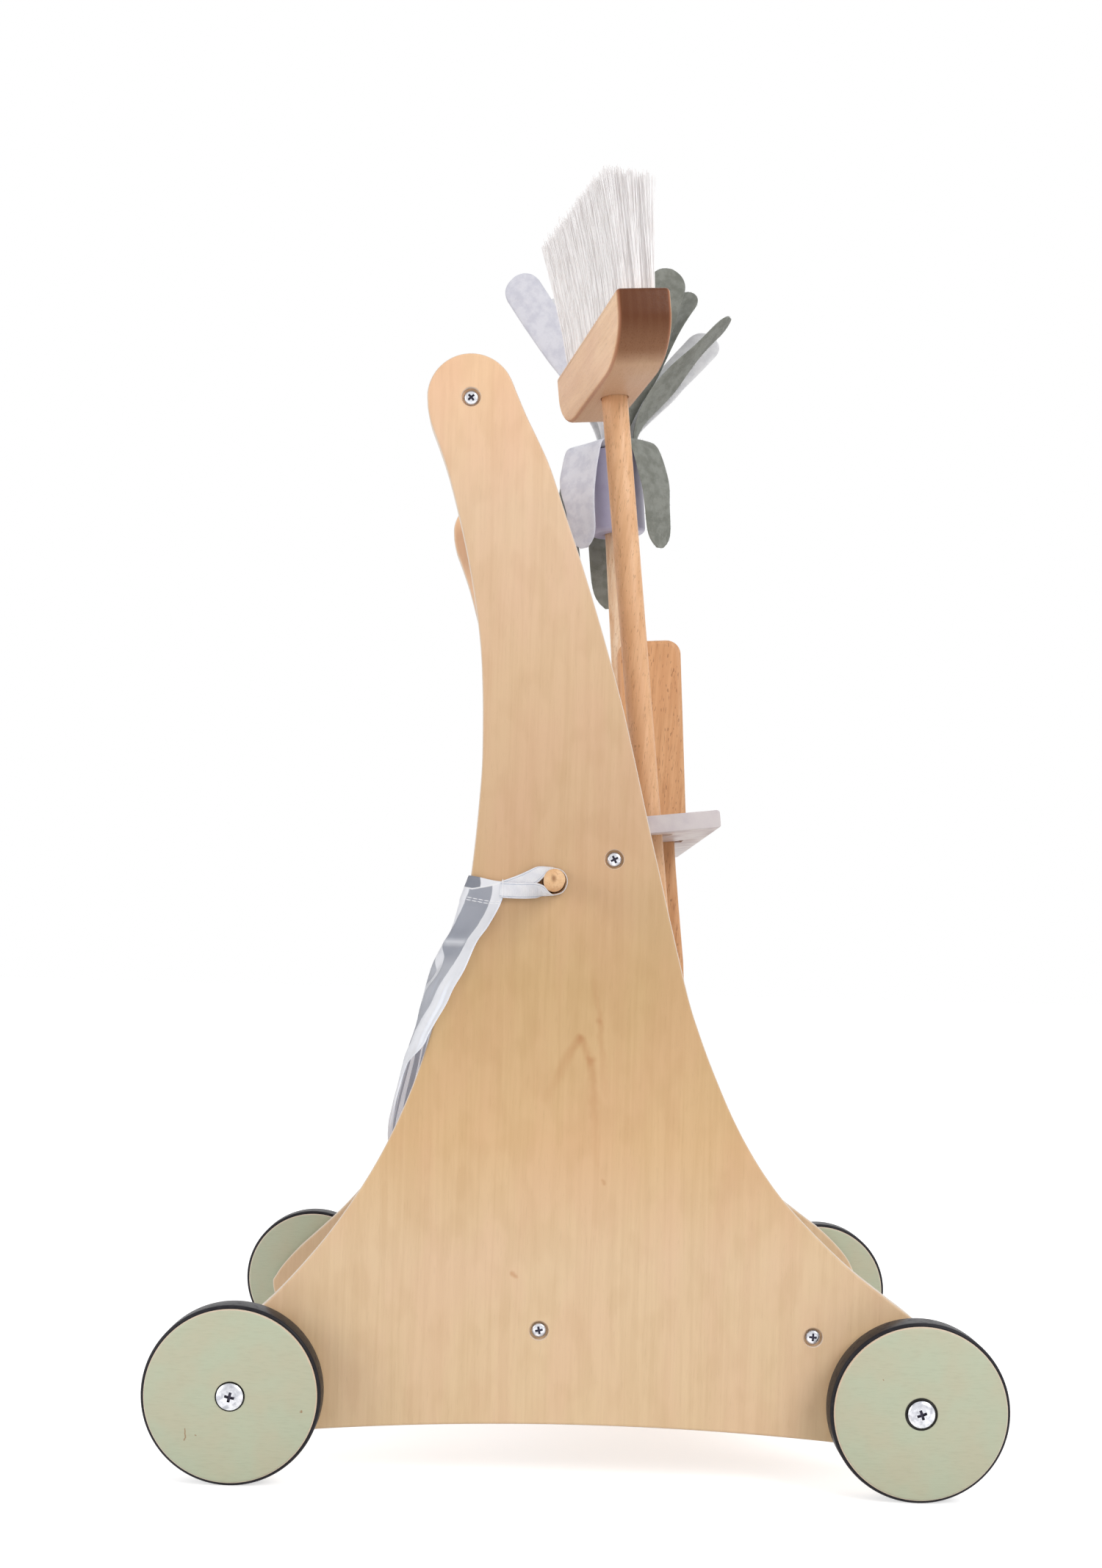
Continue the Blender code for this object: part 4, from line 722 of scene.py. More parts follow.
spots, stood_for = [], []
for label, side in SIDES.items():
    for index, screw in enumerate(("handle_screw_", "rail_screw_", "shelf_screw_rear_",
                                   "shelf_screw_front_")):
        centre = middle_of(screw + label)
        spots.append(((centre.x, side * (PANEL_OUTSIDE - SCREW_SINK), centre.z), (0, side, 0),
                      FIRST_TWIST + NEXT_TWIST * index))
        stood_for.append(screw + label)
panel_screws = set_of("panel_screws", wood_screw(SCREW_LENGTH), spots)
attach(panel_screws, "cart")
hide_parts(*stood_for)

rack_up = Vector((-math.sin(RACK_TILT), 0, math.cos(RACK_TILT)))
to_seat = rack_up * ((RACK_SCREW_LENGTH + SCREW_HEAD_HEIGHT) / 2 - SCREW_HEAD_HEIGHT)
rack_screws = set_of("rack_screws", wood_screw(RACK_SCREW_LENGTH),
                     [(middle_of("rack_screw_" + label) + to_seat, rack_up, RACK_TWIST)
                      for label in SIDES])
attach(rack_screws, "cart")
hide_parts("rack_screw_right", "rack_screw_left")

# Wheels
# Turned hardwood discs, painted sage green, each with a black rubber band round it and a
# shallow recess for its bolt. The paint is worn off the sharp rims, and has a few nicks.
WHEELBASE = 0.298
WHEEL_HEIGHT = 0.039
WHEEL_INSIDE = 0.152
WHEEL_WIDTH = 0.018
DISC_RADIUS = 0.0375
DISC_CHAMFER = 0.0009
CHAMFER_EASE = DISC_CHAMFER * 0.3
TYRE_WIDTH = 0.0138
TYRE_RADIUS = 0.039
TYRE_SEAT = 0.001
TYRE_ROUNDING = 0.0012
GAP = 0.0003
BOLT_HEAD_RADIUS = 0.006
RECESS_DEPTH = 0.0014
RECESS_CLEARANCE = {"front": 0.0010, "rear": 0.0004}
WHEEL_SIDES = 120
SAGE = srgb(196, 194, 168)
SAGE_COOL = srgb(190, 199, 174)
SAGE_DARK = srgb(150, 150, 122)
BARE_RIM = srgb(232, 208, 186)
RECESS_SHADE = srgb(58, 56, 50)
RECESS_WIDEST = 0.0072
RUBBER = srgb(36, 35, 40)
RUBBER_DUST = srgb(62, 60, 66)
PAINT_RELIEF = 0.00006
PAINT_CLOUDS = 60.0
BRUSH_MARKS = 210.0
WORN_SPOTS = 300.0
RUBBER_RELIEF = 0.00005
DUST_SPOTS = 300.0
MOULD_LINES = 2500.0
# Small nicks in the paint: end to end (x, z) from the rear axle
NICKS = (((-0.0192, -0.0142), (-0.0189, -0.0188)), ((-0.0150, -0.0172), (-0.0145, -0.0175)),
         ((0.0309, -0.0055), (0.0311, -0.0060)), ((0.2809, 0.0151), (0.2812, 0.0149)))


def sage_paint():
    """Satin paint on turned wood, clouded, nicked, and worn to the wood on the rims."""
    t = new_finish("sage_paint", specular=0.4)
    here = t.where()
    axes = t.axes(here)
    centred = t.combined(t.sums("SUBTRACT", t.sums("ABSOLUTE", axes["X"]), WHEELBASE / 2),
                         z=t.sums("SUBTRACT", axes["Z"], WHEEL_HEIGHT))
    radius = t.vector("LENGTH", centred, out="Value")
    colour = t.mix(t.span(t.speckle(here, PAINT_CLOUDS, 2.0), 0.3, 0.7, 0.0, 0.75), SAGE,
                   SAGE_COOL)
    brushed = t.speckle(t.stretched(here, (1, 1, 7)), BRUSH_MARKS, 3.0)
    colour = t.mix(t.span(brushed, 0.45, 0.75, 0, 0.12), colour, SAGE_DARK)
    beside = t.vector("ADD", here, (WHEELBASE / 2, 0, -WHEEL_HEIGHT))
    for start, end in NICKS:
        colour = t.mix(streak(t, beside, start, end, 0.0003, 0.75), colour, FIGURE_BROWN)
    edge = t.sums("ADD", radius, t.times(t.speckle(here, WORN_SPOTS, 2.0), 0.0005))
    worn = t.times(t.span(edge, DISC_RADIUS - 0.0003, DISC_RADIUS), 0.8)
    # Painted shade, with some dirt, darkens the inside of the bolt's recess
    face = WHEEL_INSIDE + WHEEL_WIDTH
    in_recess = t.times(t.span(t.sums("ABSOLUTE", axes["Y"]), face - 0.0001, face - 0.0004),
                        t.span(radius, RECESS_WIDEST, RECESS_WIDEST - 0.0001))
    colour = t.mix(in_recess, t.mix(worn, colour, BARE_RIM), RECESS_SHADE)
    return t.dress(colour, t.span(brushed, 0.3, 0.7, 0.42, 0.56), brushed, PAINT_RELIEF)


def black_rubber():
    """Black rubber, dull and faintly dusty, with fine moulding lines round it."""
    t = new_finish("black_rubber", specular=0.15)
    here = t.where()
    dust = t.span(t.speckle(here, DUST_SPOTS, 4.0, 0.65), 0.45, 0.75)
    lines = t.speckle(t.stretched(here, (0.04, 1, 0.04)), MOULD_LINES, 1.0)
    return t.dress(t.mix(t.times(dust, 0.5), RUBBER, RUBBER_DUST),
                   t.span(dust, 0, 1, 0.38, 0.58), lines, RUBBER_RELIEF)


sage, rubber = sage_paint(), black_rubber()
seat = (WHEEL_WIDTH - TYRE_WIDTH) / 2
groove = DISC_RADIUS - TYRE_SEAT
recess_floor = WHEEL_WIDTH - RECESS_DEPTH
rim = [(DISC_RADIUS - DISC_CHAMFER - CHAMFER_EASE, 0),
       (DISC_RADIUS - DISC_CHAMFER + CHAMFER_EASE, CHAMFER_EASE),
       (DISC_RADIUS - CHAMFER_EASE, DISC_CHAMFER - CHAMFER_EASE),
       (DISC_RADIUS, DISC_CHAMFER + CHAMFER_EASE), (DISC_RADIUS, seat - GAP),
       (groove, seat - GAP)]
band = [(groove + GAP, seat)]
band += [(TYRE_RADIUS - TYRE_ROUNDING * (1 - sine), seat + TYRE_ROUNDING * (1 - cosine))
         for sine, cosine in quarter(4)]
for profile in (rim, band):
    profile += [(radius, WHEEL_WIDTH - along) for radius, along in reversed(profile)]
for end, forward in (("front", 1), ("rear", -1)):
    for label, side in SIDES.items():
        tag = end + "_" + label
        place = facing((0, side, 0), (forward * WHEELBASE / 2, side * WHEEL_INSIDE, WHEEL_HEIGHT))
        recess = BOLT_HEAD_RADIUS + RECESS_CLEARANCE[end]
        disc = turned("disc_" + tag, [
            (AXLE_BORE, 0), *rim, (recess + HOLE_CHAMFER, WHEEL_WIDTH),
            (recess, WHEEL_WIDTH - HOLE_CHAMFER), (recess, recess_floor),
            (AXLE_BORE, recess_floor)], WHEEL_SIDES, place, sage, closed=True, crease=30)
        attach(disc, "wheel_" + tag)
        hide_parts("wheel_disc_" + tag)

        tyre = turned("rubber_band_" + tag, band, WHEEL_SIDES, place, rubber, closed=True,
                      crease=50)
        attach(tyre, "wheel_" + tag)
        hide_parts("tyre_" + tag)

# Axles
# Each wheel turns on a flanged steel sleeve pushed through the panel from inside. A cross-
# headed bolt screws into it from outside, and a washer keeps the wheel off the panel.
BOLT_HEAD_HEIGHT = 0.0024
BOLT_RADIUS = 0.0025
BOLT_LENGTH = 0.022
BOLT_CROWN = 0.0022
SLEEVE_RADIUS = 0.004
FLANGE_RADIUS = 0.0075
FLANGE_THICKNESS = 0.0015
WASHER_RADIUS = 0.009
WASHER_THICKNESS = 0.0024
SLEEVE_END = WHEEL_INSIDE + recess_floor + GAP - PANEL_INSIDE
SOFT_EDGE = 0.0003

axle_spots = [(tag, end * WHEELBASE / 2, side)
              for tag, end, side in (("front_right", 1, -1), ("front_left", 1, 1),
                                     ("rear_right", -1, -1), ("rear_left", -1, 1))]


def on_axles(name, one, off, twist=0.0, more=0.0):
    """A copy of one piece on each axle, this far from the cart's middle."""
    return set_of(name, one, [((x, side * off, WHEEL_HEIGHT), (0, side, 0), twist + more * index)
                              for index, (_, x, side) in enumerate(axle_spots)])


bolts = on_axles("axle_bolts", cross_headed("one_bolt", BOLT_HEAD_RADIUS, BOLT_HEAD_HEIGHT,
                                            BOLT_RADIUS, BOLT_LENGTH, BOLT_CROWN, BOLT_CROSS,
                                            False),
                 WHEEL_INSIDE + recess_floor + 2 * GAP, 0.35, 0.5)
hollow = BOLT_RADIUS + GAP
sleeves = on_axles("axle_sleeves", turned("one_sleeve", [
    (hollow, -FLANGE_THICKNESS - GAP), (FLANGE_RADIUS - SOFT_EDGE, -FLANGE_THICKNESS - GAP),
    (FLANGE_RADIUS, -FLANGE_THICKNESS - GAP + SOFT_EDGE), (FLANGE_RADIUS, -GAP - SOFT_EDGE),
    (FLANGE_RADIUS - SOFT_EDGE, -GAP), (SLEEVE_RADIUS, -GAP), (SLEEVE_RADIUS, SLEEVE_END),
    (hollow, SLEEVE_END)], SCREW_SIDES, Matrix.Identity(4), zinc, closed=True), PANEL_INSIDE)
hollow = SLEEVE_RADIUS + GAP
washers = on_axles("wheel_washers", turned("one_washer", [
    (hollow, 0), (WASHER_RADIUS - SOFT_EDGE, 0), (WASHER_RADIUS, SOFT_EDGE),
    (WASHER_RADIUS, WASHER_THICKNESS - SOFT_EDGE), (WASHER_RADIUS - SOFT_EDGE, WASHER_THICKNESS),
    (hollow, WASHER_THICKNESS)], SCREW_SIDES, Matrix.Identity(4), zinc, closed=True),
    PANEL_OUTSIDE + GAP)
for piece, node in ((bolts, "axle_bolt_"), (sleeves, "sleeve_nut_"), (washers, "spacer_washer_")):
    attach(piece, "cart")
    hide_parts(*(node + tag for tag, _, _ in axle_spots))

# Push handle
# A 25 mm beech dowel between the panels' heads, held by a screw in each end. Its lacquer has
# a soft shine, and it is drilled for the screws.
BEECH_PALE = srgb(226, 178, 132)
BEECH_DEEP = srgb(196, 140, 92)
BEECH_WARM = srgb(222, 164, 118)
STICK_PALE = srgb(238, 190, 146)
STICK_DEEP = srgb(214, 162, 116)
PALE_STICK = srgb(236, 206, 174)
WOOD_RELIEF = 0.00005
ALONG_Y = (math.pi / 2, 0, 0)
DOWEL_SIDES = 72
HANDLE_RADIUS = 0.0125
HANDLE_ROUNDING = 0.0006
PILOT_RADIUS = 0.0023
PILOT_DEPTH = 0.0285


def beech(name, turn=(0, 0, 0), shift=(0, 0, 0), flecks=0.5, pale=BEECH_PALE, deep=BEECH_DEEP):
    """Lacquered beech. The turn brings the piece's own grain to the pattern's Z axis."""
    t = new_finish(name, specular=0.45)
    grain = grained(t, t.mapped(t.where(), turn, shift), pale, deep, BEECH_WARM, lines=520.0,
                    contrast=0.6, mottle=0.4, pores=0.45, flecks=flecks)
    return t.dress(grain["Color"], grain["Roughness"], grain["Height"], WOOD_RELIEF)


def dowel(name, radius, length, place, rounding, material):
    """A round stick along its place's +Z, its ends rounded over."""
    end = [(radius - rounding * (1 - sine), rounding * (1 - cosine))
           for sine, cosine in quarter(ROUNDING_STEPS)]
    return turned(name, [(0, 0), *end, *((r, length - rise) for r, rise in reversed(end)),
                         (0, length)], DOWEL_SIDES, place, material)


low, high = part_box("push_handle")
centre = (low + high) / 2
across = Matrix.Translation((centre.x, low.y, centre.z)) @ Matrix.Rotation(-math.pi / 2, 4, "X")
handle = dowel("handle_dowel", HANDLE_RADIUS, high.y - low.y, across, HANDLE_ROUNDING,
               beech("beech_handle", ALONG_Y))
bores = bmesh.new()
for side in SIDES.values():
    bore(bores, PILOT_RADIUS, PILOT_DEPTH, (0, side, 0), (centre.x, side * high.y, centre.z))
bored(handle, bores)
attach(handle, "cart")
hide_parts("push_handle")

# Lower shelf
# A 12 mm plywood board low between the panels, screwed through them into its ends. It ties
# the feet together, and the broom and the mop stand on it.
SHELF_DEPTH = 0.152
SHELF_ROUNDING = 0.0015
END_ROUNDING = 0.0006


def oblong(wide, tall, radius):
    """The outline of an oblong with each corner drawn as an arc."""
    corners = [Vector((x * wide / 2, y * tall / 2))
               for x, y in ((-1, -1), (1, -1), (1, 1), (-1, 1))]
    line = []
    for index, corner in enumerate(corners):
        into = (corners[index - 1] - corner).normalized()
        out = (corners[(index + 1) % 4] - corner).normalized()
        centre = corner + (into + out) * radius
        line += [centre - out * radius * cosine - into * radius * sine
                 for sine, cosine in quarter(ROUNDING_STEPS)]
    return line


def level_board(node, depth, thick, rounding, tilt=0.0):
    """A rounded board across the cart in place of a CAD board, and its place."""
    low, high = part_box(node)
    centre = (low + high) / 2
    place = Matrix.Translation((centre.x, 0, centre.z)) @ Matrix.Rotation(-tilt, 4, "Y")
    return rounded_board(oblong(depth, thick, rounding), low.y, high.y, END_ROUNDING, 0,
                         place), place


def flat_ply(name, thick, centre_height):
    """Lacquered birch plywood lying level, its veneers stacked along Z, grain along Y."""
    t = new_finish(name, specular=0.35)
    here = t.where()
    grain = grained(t, t.mapped(here, ALONG_Y), BIRCH_PALE, BIRCH_DEEP, BIRCH_PINK, lines=300.0,
                    contrast=0.4, mottle=0.5, pores=0.12)
    depth = t.sums("SUBTRACT", t.axes(here)["Z"], centre_height - thick / 2)
    edge, sawn = veneers(t, t.times(depth, PLIES / thick), 0.5, t.axes(t.where("Normal"))["Z"])
    return t.dress(t.mix(sawn, grain["Color"], edge), grain["Roughness"], grain["Height"],
                   PLY_RELIEF)


def pilots(*screws):
    """Pilot holes in a board's ends for the screws that come through the panels."""
    bm = bmesh.new()
    for label, side in SIDES.items():
        for screw in screws:
            centre = middle_of(screw + label)
            bore(bm, PILOT_RADIUS, PILOT_DEPTH, (0, side, 0),
                 (centre.x, side * (PANEL_INSIDE - GAP), centre.z))
    return bm


bm, place = level_board("lower_shelf", SHELF_DEPTH, PLY_THICKNESS, SHELF_ROUNDING)
shelf = shown("shelf_board", bm, flat_ply("flat_ply_shelf", PLY_THICKNESS, place.translation.z))
bored(shelf, pilots("shelf_screw_rear_", "shelf_screw_front_"))
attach(shelf, "cart")
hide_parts("lower_shelf")

# Rack rail
# A birch batten under the rack board. The third screw in each panel goes into its end, and
# it is drilled from above for the two screws that hold the board down.
RAIL_DEPTH = 0.018
RAIL_HEIGHT = 0.0205
RAIL_ROUNDING = 0.0012
RACK_PILOT_DEPTH = 0.0145

bm, place = level_board("rack_rail", RAIL_DEPTH, RAIL_HEIGHT, RAIL_ROUNDING, RACK_TILT)
rail = shown("rail_batten", bm, beech("birch_rail", ALONG_Y, flecks=0.1, pale=BIRCH_PALE,
                                      deep=BIRCH_DEEP))
bores = pilots("rail_screw_")
for label in SIDES:
    middle = middle_of("rack_screw_" + label)
    forward = (place.inverted() @ middle).x
    bore(bores, PILOT_RADIUS, RACK_PILOT_DEPTH, rack_up,
         place @ Vector((forward, middle.y, RAIL_HEIGHT / 2)))
bored(rail, bores)
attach(rail, "cart")
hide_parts("rack_rail")

# Tool rack
# A thin board painted pale lavender, tilted up to the front, with a round hole for each
# stick and a slot for the hand brush. Two sunk screws hold it on the rail.
RACK_DEPTH = 0.060
RACK_THICKNESS = 0.008
RACK_ROUNDING = 0.0014
RACK_HOLE = 0.010
RACK_HOLE_EASE = 0.0006
# How each tool stands or hangs: foot forward and offset, lean from upright, stick radius
SHELF_TOP = 0.073
BROOM_STANDS = (0.051, -0.1125, math.radians(6.0), 0.006)
MOP_STANDS = (0.048, 0.113, math.radians(4.3), 0.007)
BRUSH_HANGS = (0.0342, -0.0445, math.radians(3.3))
BRUSH_HEAD_WIDTH = 0.031
SLOT_WIDTH = 0.0264
SLOT_THICK = 0.0174
SLOT_CORNER = 0.0012
LAVENDER = srgb(212, 203, 203)
LAVENDER_DEEP = srgb(190, 178, 186)
SATIN_RELIEF = 0.00004
SATIN_CLOUDS = 90.0
SATIN_STROKES = 1200.0


def lavender_paint(name, colour, deep, roughness=(0.36, 0.5)):
    """Smooth satin paint in lavender, with a little brush cloud and dust."""
    t = new_finish(name, specular=0.45)
    cloud = t.span(t.speckle(t.where(), SATIN_CLOUDS, 3.0), 0.38, 0.68)
    strokes = t.speckle(t.stretched(t.where(), (1, 0.08, 1)), SATIN_STROKES, 2.0)
    tint = t.mix(t.times(cloud, 0.5), colour, deep)
    return t.dress(t.mix(t.span(strokes, 0.5, 0.75, 0, 0.12), tint, deep),
                   t.span(cloud, 0, 1, *roughness), strokes, SATIN_RELIEF)


def leaning(forward, offset, height, lean):
    return Matrix.Translation((forward, offset, height)) @ Matrix.Rotation(-lean, 4, "Y")


def standing(forward, offset, lean, radius):
    """The place of a stick that stands on the shelf: its foot's middle, +Z up the stick."""
    return leaning(forward, offset, SHELF_TOP + GAP + radius * math.sin(lean), lean)


def hanging(forward, offset, lean):
    """The place of the hand brush, whose front shoulder lies on the rack's top face."""
    rise = math.tan(RACK_TILT)
    face = rack_place.translation.z + RACK_THICKNESS / 2 / math.cos(RACK_TILT)
    face += (forward - rack_place.translation.x) * rise
    face += BRUSH_HEAD_WIDTH / 2 * (math.cos(lean) * rise - math.sin(lean))
    return leaning(forward, offset, face + GAP / math.cos(RACK_TILT), lean)


bm, rack_place = level_board("rack_shelf", RACK_DEPTH, RACK_THICKNESS, RACK_ROUNDING, RACK_TILT)
rack = shown("rack_board", bm, lavender_paint("lavender_board", LAVENDER, LAVENDER_DEEP))
to_rack = rack_place.inverted()
broom_place, mop_place = standing(*BROOM_STANDS), standing(*MOP_STANDS)
brush_place = hanging(*BRUSH_HANGS)
bores = bmesh.new()
half, wide = RACK_THICKNESS / 2, RACK_HOLE + RACK_HOLE_EASE
for stick in (broom_place, mop_place):
    start = to_rack @ stick.translation
    axis = to_rack.to_3x3() @ stick.col[2].to_3d()
    crossing = start - axis * (start.z / axis.z)
    add_lathed(bores, [
        (0, -half - GAP), (wide, -half - GAP), (wide, -half), (RACK_HOLE, RACK_HOLE_EASE - half),
        (RACK_HOLE, half - RACK_HOLE_EASE), (wide, half), (wide, half + GAP), (0, half + GAP)],
        HOLE_SIDES, rack_place @ Matrix.Translation((crossing.x, crossing.y, 0)))
for label in SIDES:
    local = to_rack @ middle_of("rack_screw_" + label)
    sunk_bore(bores, rack_place @ Matrix.Translation((local.x, local.y, half)))
slot = to_rack @ brush_place.translation
skin(bores, [[bores.verts.new(rack_place @ Vector((slot.x + p.x, slot.y + p.y, z)))
              for p in oblong(SLOT_WIDTH, SLOT_THICK, SLOT_CORNER)]
             for z in (-half - GAP, half + GAP)])
bored(rack, bores)
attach(rack, "cart")
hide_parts("rack_shelf")

# Apron pegs
# Two short beech dowels with domed ends, glued into the panels' faces. The apron's loops
# hang on them. Their end grain is darker in the middle.
PEG_RADIUS = 0.0046
PEG_REACH = 0.032
PEG_DOME = 0.0026
PEG_PALE = srgb(242, 202, 156)
PEG_DEEP = srgb(214, 162, 114)
PEG_END_DARK = srgb(140, 92, 56)
PITH = 0.0002


def peg_beech(name, forward, height):
    """Beech along Y whose end grain darkens to the pith in the middle."""
    t = new_finish(name, specular=0.4)
    here = t.where()
    grain = grained(t, t.mapped(here, ALONG_Y), PEG_PALE, PEG_DEEP, BEECH_WARM, lines=520.0,
                    contrast=0.4, mottle=0.4, pores=0.3, flecks=0.3)
    pith = streak(t, here, (forward, height), (forward + PITH, height + PITH), 0.0013, 0.8)
    end = t.span(t.sums("ABSOLUTE", t.axes(t.where("Normal"))["Y"]), 0.5, 0.9)
    return t.dress(t.mix(t.times(pith, end), grain["Color"], PEG_END_DARK),
                   grain["Roughness"], grain["Height"], WOOD_RELIEF)


centre = middle_of("apron_peg_right")
peg_wood = peg_beech("beech_pegs", centre.x, centre.z)
dome = [(PEG_RADIUS * cosine, PEG_REACH - PEG_DOME * (1 - sine)) for sine, cosine in quarter(6)]
for label, side in SIDES.items():
    peg = turned("peg_" + label, [
        (0, GAP - PEG_BORE_DEPTH), (PEG_RADIUS, GAP - PEG_BORE_DEPTH), *dome[:-1],
        (0, PEG_REACH)], HOLE_SIDES,
        facing((0, side, 0), (centre.x, side * PANEL_OUTSIDE, centre.z)), peg_wood)
    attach(peg, "cart")
    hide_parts("apron_peg_" + label)

# Broom
# A beech stick glued into a beech head with rounded shoulders. The head is sanded smooth, its
# ends show dark end grain, and white filaments are stapled into rows of holes in its top.
HEAD_HEIGHT = 0.489
HEAD_LENGTH = 0.132
HEAD_DEPTH = 0.024
HEAD_TALL = 0.029
HEAD_FOOT = 0.064
HEAD_END = 0.010
HEAD_ROUNDING = 0.0021
HEAD_TURN = math.radians(10.6)
HEAD_SOCKET = 0.016
SHOULDER_STEPS = 24
STICK_ROUNDING = 0.0015
MAPLE_PALE = srgb(244, 208, 172)
MAPLE_DEEP = srgb(224, 182, 144)
END_GRAIN_DARK = srgb(98, 55, 30)
END_GRAIN = srgb(156, 112, 82)
BROWNED_EDGE = srgb(168, 110, 80)
YEAR_RINGS = 75.0
VESSELS = 1900.0
# Bristle rows of the broom, and how far they lean and reach
FIELD_LENGTH = 0.113
FIELD_DEPTH = 0.0125
TUFTS_LONG = 25
TUFTS_DEEP = 5
TUFT_RADIUS = 0.0016
TUFT_HOLE = 0.0017
TUFT_SINK = 0.006
TUFT_HOLE_SIDES = 12
TUFT_CUT_OVER = 0.001
BRISTLE_NEAR = 0.0515
BRISTLE_FAR = 0.0605
FLARE_LONG = 0.0028
FLARE_DEEP = 0.0022
FAR_LEAN = 0.0030
FIELD_TILT = 0.0016
FILAMENTS = 42
FILAMENT_THICKNESS = 0.00048
FILAMENT_STEPS = 4
BRISTLE_JAG = 0.0022
CLUMP = 0.0020
CLUMPS_DEEP = 2.3
CLUMPS_LONG = 13
BRISTLE_WHITE = srgb(246, 244, 244)
BRISTLE_SHADE = srgb(229, 225, 224)
BRISTLE_PAINTED_GLOW = 0.19
BRISTLE_STRANDS = 900.0


def head_wood(name, place):
    """Pale beech with its grain along the head, browned end grain on ends and shoulders, and
    painted shade in that brown on faces turned down.
    """
    t = new_finish(name, specular=0.22)
    home = place.inverted()
    # Bring the head back to its own frame: X across it, Y along it and Z up
    here = t.mapped(t.where(), home.to_euler(), home.translation)
    ways = t.axes(t.mapped(t.where("Normal"), home.to_euler(), vector_type="NORMAL"))
    grain = grained(t, t.mapped(here, ALONG_Y), MAPLE_PALE, MAPLE_DEEP, BIRCH_PINK, lines=380.0,
                    contrast=0.5, mottle=0.4, pores=0.2, flecks=0.15)
    rings = t.add("ShaderNodeTexWave", {"Vector": here, "Scale": YEAR_RINGS, "Distortion": 2.5,
                                        "Detail": 2.0, "Detail Scale": 1.5},
                  wave_type="BANDS", bands_direction="X").outputs["Fac"]
    vessels = t.speckle(t.stretched(here, (1, 0.3, 1)), VESSELS, 2.0)
    end = t.mix(t.span(t.axes(here)["Z"], 0.001, 0.018), END_GRAIN, END_GRAIN_DARK)
    end = t.mix(t.span(rings, 0.3, 0.9, 0, 0.06), end, END_GRAIN)
    end = t.mix(t.span(vessels, 0.5, 0.75, 0, 0.35), end, END_GRAIN_DARK)
    flank = t.sums("ABSOLUTE", ways["X"])
    # Faces across the grain show end grain; faces turned down take up to 0.45 of its brown too, as
    # painted shade under the head
    tilted = t.sums("MAXIMUM", t.span(t.sums("ABSOLUTE", ways["Y"]), 0.02, 0.5),
                    t.times(t.span(ways["Z"], -0.1, -0.8), 0.45))
    colour = t.mix(t.times(tilted, t.span(flank, 0.9, 0.5)), grain["Color"], end)
    browned = t.times(t.span(flank, 0.2, 0.55), t.span(flank, 0.98, 0.8))
    return t.dress(t.mix(t.times(browned, 0.7), colour, BROWNED_EDGE),
                   t.span(vessels, 0.3, 0.7, 0.4, 0.55), vessels, WOOD_RELIEF)


def tuft_rows(length, depth, count_long, count_deep):
    """Roots of staggered tufts over a field: (x, y) and their shares (u, v) from -1 to 1."""
    rows = []
    for i in range(count_deep):
        for j in range(count_long - i % 2):
            u = 2 * i / (count_deep - 1) - 1
            v = 2 * (j + (i % 2) * 0.5) / (count_long - 1) - 1
            rows.append((u * depth / 2, v * length / 2, u, v))
    return rows


def tuft_holes(bm, tufts, place):
    for x, y, _, _ in tufts:
        add_lathed(bm, [(0, -TUFT_SINK), (TUFT_HOLE, -TUFT_SINK), (TUFT_HOLE, TUFT_CUT_OVER),
                        (0, TUFT_CUT_OVER)], TUFT_HOLE_SIDES,
                   place @ Matrix.Translation((x, y, 0)))
    return bm


broom_lean, stick_radius = BROOM_STANDS[2:]
head_low = (HEAD_HEIGHT - broom_place.translation.z) / math.cos(broom_lean)
head_place = (broom_place @ Matrix.Translation((0, 0, head_low))
              @ Matrix.Rotation(HEAD_TURN, 4, "Z"))
half, foot = HEAD_LENGTH / 2, HEAD_FOOT / 2
right_side = [(foot + (half - foot) * sine, (HEAD_TALL - HEAD_END) * (1 - cosine))
              for sine, cosine in quarter(SHOULDER_STEPS)]
right_side += [(half - HEAD_ROUNDING * (1 - cosine), HEAD_TALL - HEAD_ROUNDING * (1 - sine))
               for sine, cosine in quarter(ROUNDING_STEPS)]
outline = right_side + [(-x, z) for x, z in reversed(right_side)]
head = shown("broom_block", rounded_board(
    outline, -HEAD_DEPTH / 2, HEAD_DEPTH / 2, HEAD_ROUNDING,
    place=head_place @ Matrix.Rotation(math.pi / 2, 4, "Z")), head_wood("beech_head", head_place))
bores = bmesh.new()
socket = stick_radius + GAP
add_lathed(bores, [(0, HEAD_SOCKET), (socket, HEAD_SOCKET), (socket, HOLE_CHAMFER),
                   (socket + GAP, 0), (socket + GAP, -CUT_OVER), (0, -CUT_OVER)], HOLE_SIDES,
           head_place)
broom_tufts = tuft_rows(FIELD_LENGTH, FIELD_DEPTH, TUFTS_LONG, TUFTS_DEEP)
field_place = head_place @ Matrix.Translation((0, 0, HEAD_TALL))
bored(head, tuft_holes(bores, broom_tufts, field_place))
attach(head, "broom")
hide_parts("broom_head")

stick = dowel("broom_pole", stick_radius, head_low + HEAD_SOCKET - GAP, broom_place,
              STICK_ROUNDING, beech("beech_broom_stick", (0, -broom_lean, 0), (0.4, 0, 0),
                                    flecks=0.4, pale=STICK_PALE, deep=STICK_DEEP))
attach(stick, "broom")
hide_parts("broom_stick")


